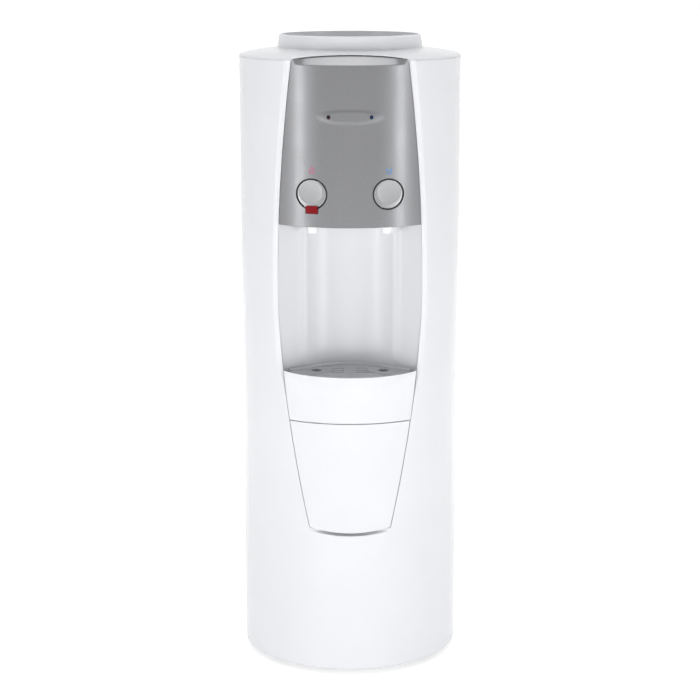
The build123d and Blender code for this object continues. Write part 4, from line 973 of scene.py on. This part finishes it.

# painted shade: a black ring set into the gap round each button, standing in for the gap's shadow
gapShade = dict(inner=20.5, outer=21.2, front=-0.9, back=6.0, sides=120, lockHalf=36.0)


def gapShadeRing(side, name):
    # the ring on the hot side stops on both sides of the lock, which travels in with its button
    g = gapShade
    free = math.radians(g["lockHalf"] if side < 0 else 0.0)
    a = np.linspace(free, 2 * math.pi - free, g["sides"], endpoint=side < 0) - math.pi / 2
    middle = 0.5 * (g["inner"] + g["outer"])
    path = joined(side * cap["x"] + middle * np.cos(a), cap["z"] + middle * np.sin(a))
    # a black band inside the gap, for the gap's shadow: painted shade
    ribbon(name, path, 0.5 * (g["outer"] - g["inner"]), "black_plastic", "black_plastic",
           closed=side > 0, lift=g["front"], sink=g["back"])


gapShadeRing(-1, "hotGapShade")
gapShadeRing(1, "coldGapShade")
print("gap shade rings done")

# the return spring behind each button, wound from round wire, with its last turns laid flat
spring = dict(front=-131.7, back=-117.3, coil=7.4, wire=0.55, turns=6.0, flat=0.75, travel=6.0, rings=26,
              sides=10)


def buttonSpring(side, name, node):
    # a circle of wire carried along a helix, square to it
    s = spring
    a = np.linspace(0, s["turns"], int(s["turns"] * s["rings"]) + 1)
    # the wire climbs from one flat end turn to the other, then stays level
    share = np.clip((a - s["flat"]) / (s["turns"] - 2 * s["flat"]), 0, 1)
    low, high = s["front"] + s["wire"], s["back"] - s["wire"]
    turn = 2 * math.pi * a
    middle = joined(side * cap["x"] + s["coil"] * np.cos(turn), low + (high - low) * share,
                    cap["z"] + s["coil"] * np.sin(turn))
    along = np.gradient(middle, axis=0)
    along /= np.linalg.norm(along, axis=1, keepdims=True)
    out = joined(np.cos(turn), 0, np.sin(turn))
    across = np.cross(along, out)
    b = roundTurn(s["sides"])[:, None]
    ring = middle[:, None] + s["wire"] * (out[:, None] * np.cos(b) + across[:, None] * np.sin(b))
    n, k = ring.shape[:2]
    ends = [list(range(k)), list(range(n * k - 1, (n - 1) * k - 1, -1))]
    piece = newPiece(name, ring, gridQuads(n, k, wrapV=True).tolist() + ends, slot="steel_zinc")
    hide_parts(node)
    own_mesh(piece)


buttonSpring(-1, "hotSpring", "hot_spring")
buttonSpring(1, "coldSpring", "cold_spring")
print("springs done")


# stage: a white floor and backdrop that keep the object's shadow
stage = dict(floorSize=30.0, floorZ=-0.0005, floorGlow=0.60, glowFrom=0.5, glowTo=1.4, ambient=0.16,
             backdrop=1.0)


def seenDirectly(tree):
    # 1 for rays from the camera, in reflections and through glass, 0 for the light that falls on the object
    path = addNode(tree, "LightPath").outputs
    links = {0: path["Is Camera Ray"], 1: path["Is Glossy Ray"]}
    first = addNode(tree, "Math", {}, links, operation="MAXIMUM").outputs[0]
    links = {0: first, 1: path["Is Transmission Ray"]}
    return addNode(tree, "Math", {}, links, operation="MAXIMUM").outputs[0]


def stageFloor():
    half, z = stage["floorSize"], stage["floorZ"]
    corners = [(-half, -half, z), (half, -half, z), (half, half, z), (-half, half, z)]
    mesh = bpy.data.meshes.new("floor")
    mesh.from_pydata(corners, [], [(0, 1, 2, 3)])
    floor = bpy.data.objects.new("floor", mesh)
    scene.collection.objects.link(floor)
    material, tree, shader, place = nodeMaterial("floorWhite")
    # near the object the lamps make up the white, further out the floor glows by itself
    span = addNode(tree, "VectorMath", {}, {0: place}, operation="LENGTH").outputs["Value"]
    glow = rangeNode(tree, span, stage["floorGlow"], 1.0, stage["glowFrom"], stage["glowTo"])
    seen = addNode(tree, "Math", {}, {0: glow, 1: seenDirectly(tree)}, operation="MULTIPLY").outputs[0]
    fill(tree, shader, {"Base Color": (0.9, 0.9, 0.9, 1), "Roughness": 0.9, "Specular IOR Level": 0.0,
                        "Emission Color": (1, 1, 1, 1)}, {"Emission Strength": seen})
    mesh.materials.append(material)


stageFloor()
world = bpy.data.worlds.new("studio")
scene.world = world
world.use_nodes = True
sky = world.node_tree
strength = rangeNode(sky, seenDirectly(sky), stage["ambient"], stage["backdrop"], 0, 1)
fill(sky, sky.nodes["Background"], {"Color": (1, 1, 1, 1)}, {"Strength": strength})

# the camera stands a few steps away, about a metre up, and looks a little down
eye = dict(sensor=36.0, lens=92.588, place=(0.0, -2.5494, 0.9965), down=12.388)
camera = bpy.data.cameras.new("camera")
camera.sensor_width, camera.lens = eye["sensor"], eye["lens"]
view = bpy.data.objects.new("camera", camera)
scene.collection.objects.link(view)
view.location = eye["place"]
view.rotation_euler = (math.radians(90 - eye["down"]), 0, 0)
scene.camera = view

lamps = dict(
    stripLeft=dict(place=(-1.95, -1.45, 0.66), aim=(0, 0, 0.6), size=(0.40, 1.25), power=7.6, inMirrors=True),
    stripRight=dict(place=(1.95, -1.45, 0.66), aim=(0, 0, 0.6), size=(0.40, 1.25), power=7.3, inMirrors=True),
    sideLeft=dict(place=(-2.0, -1.4, 0.4), aim=(0, 0, 0.35), size=(1.2, 0.8), power=13.0),
    sideRight=dict(place=(2.1, -1.2, 0.4), aim=(0, 0, 0.35), size=(1.2, 0.8), power=13.0),
    low=dict(place=(0, -1.7, 0.06), aim=(0, 0, 0.5), size=(2.6, 0.5), power=11.0),
    front=dict(place=(0, -3.2, 0.3), aim=(0, 0, 0.3), size=(2.4, 0.5), power=20.0),
    top=dict(place=(0, 0.6, 2.4), aim=(0, 0.1, 0.4), size=(2.9, 2.3), power=36.0, inMirrors=True),
    rear=dict(place=(0, 3.0, 1.2), aim=(0, 0, 0.4), size=(2.4, 1.4), power=16.0),
)


def softBox(name, place, aim, size, power, inMirrors=False):
    # a lamp panel that points at a place, and shows in glossy surfaces only where inMirrors is set
    light = bpy.data.lights.new(name, "AREA")
    light.shape = "RECTANGLE"
    light.size, light.size_y = size
    light.energy = power
    box = bpy.data.objects.new(name, light)
    scene.collection.objects.link(box)
    box.location = place
    box.rotation_euler = (Vector(aim) - Vector(place)).to_track_quat("-Z", "Y").to_euler()
    box.visible_glossy = inMirrors
    box.visible_camera = False


for name, lamp in lamps.items():
    softBox(name, **lamp)
print("stage done, lamps:", len(lamps))

scene.view_settings.view_transform = "Standard"
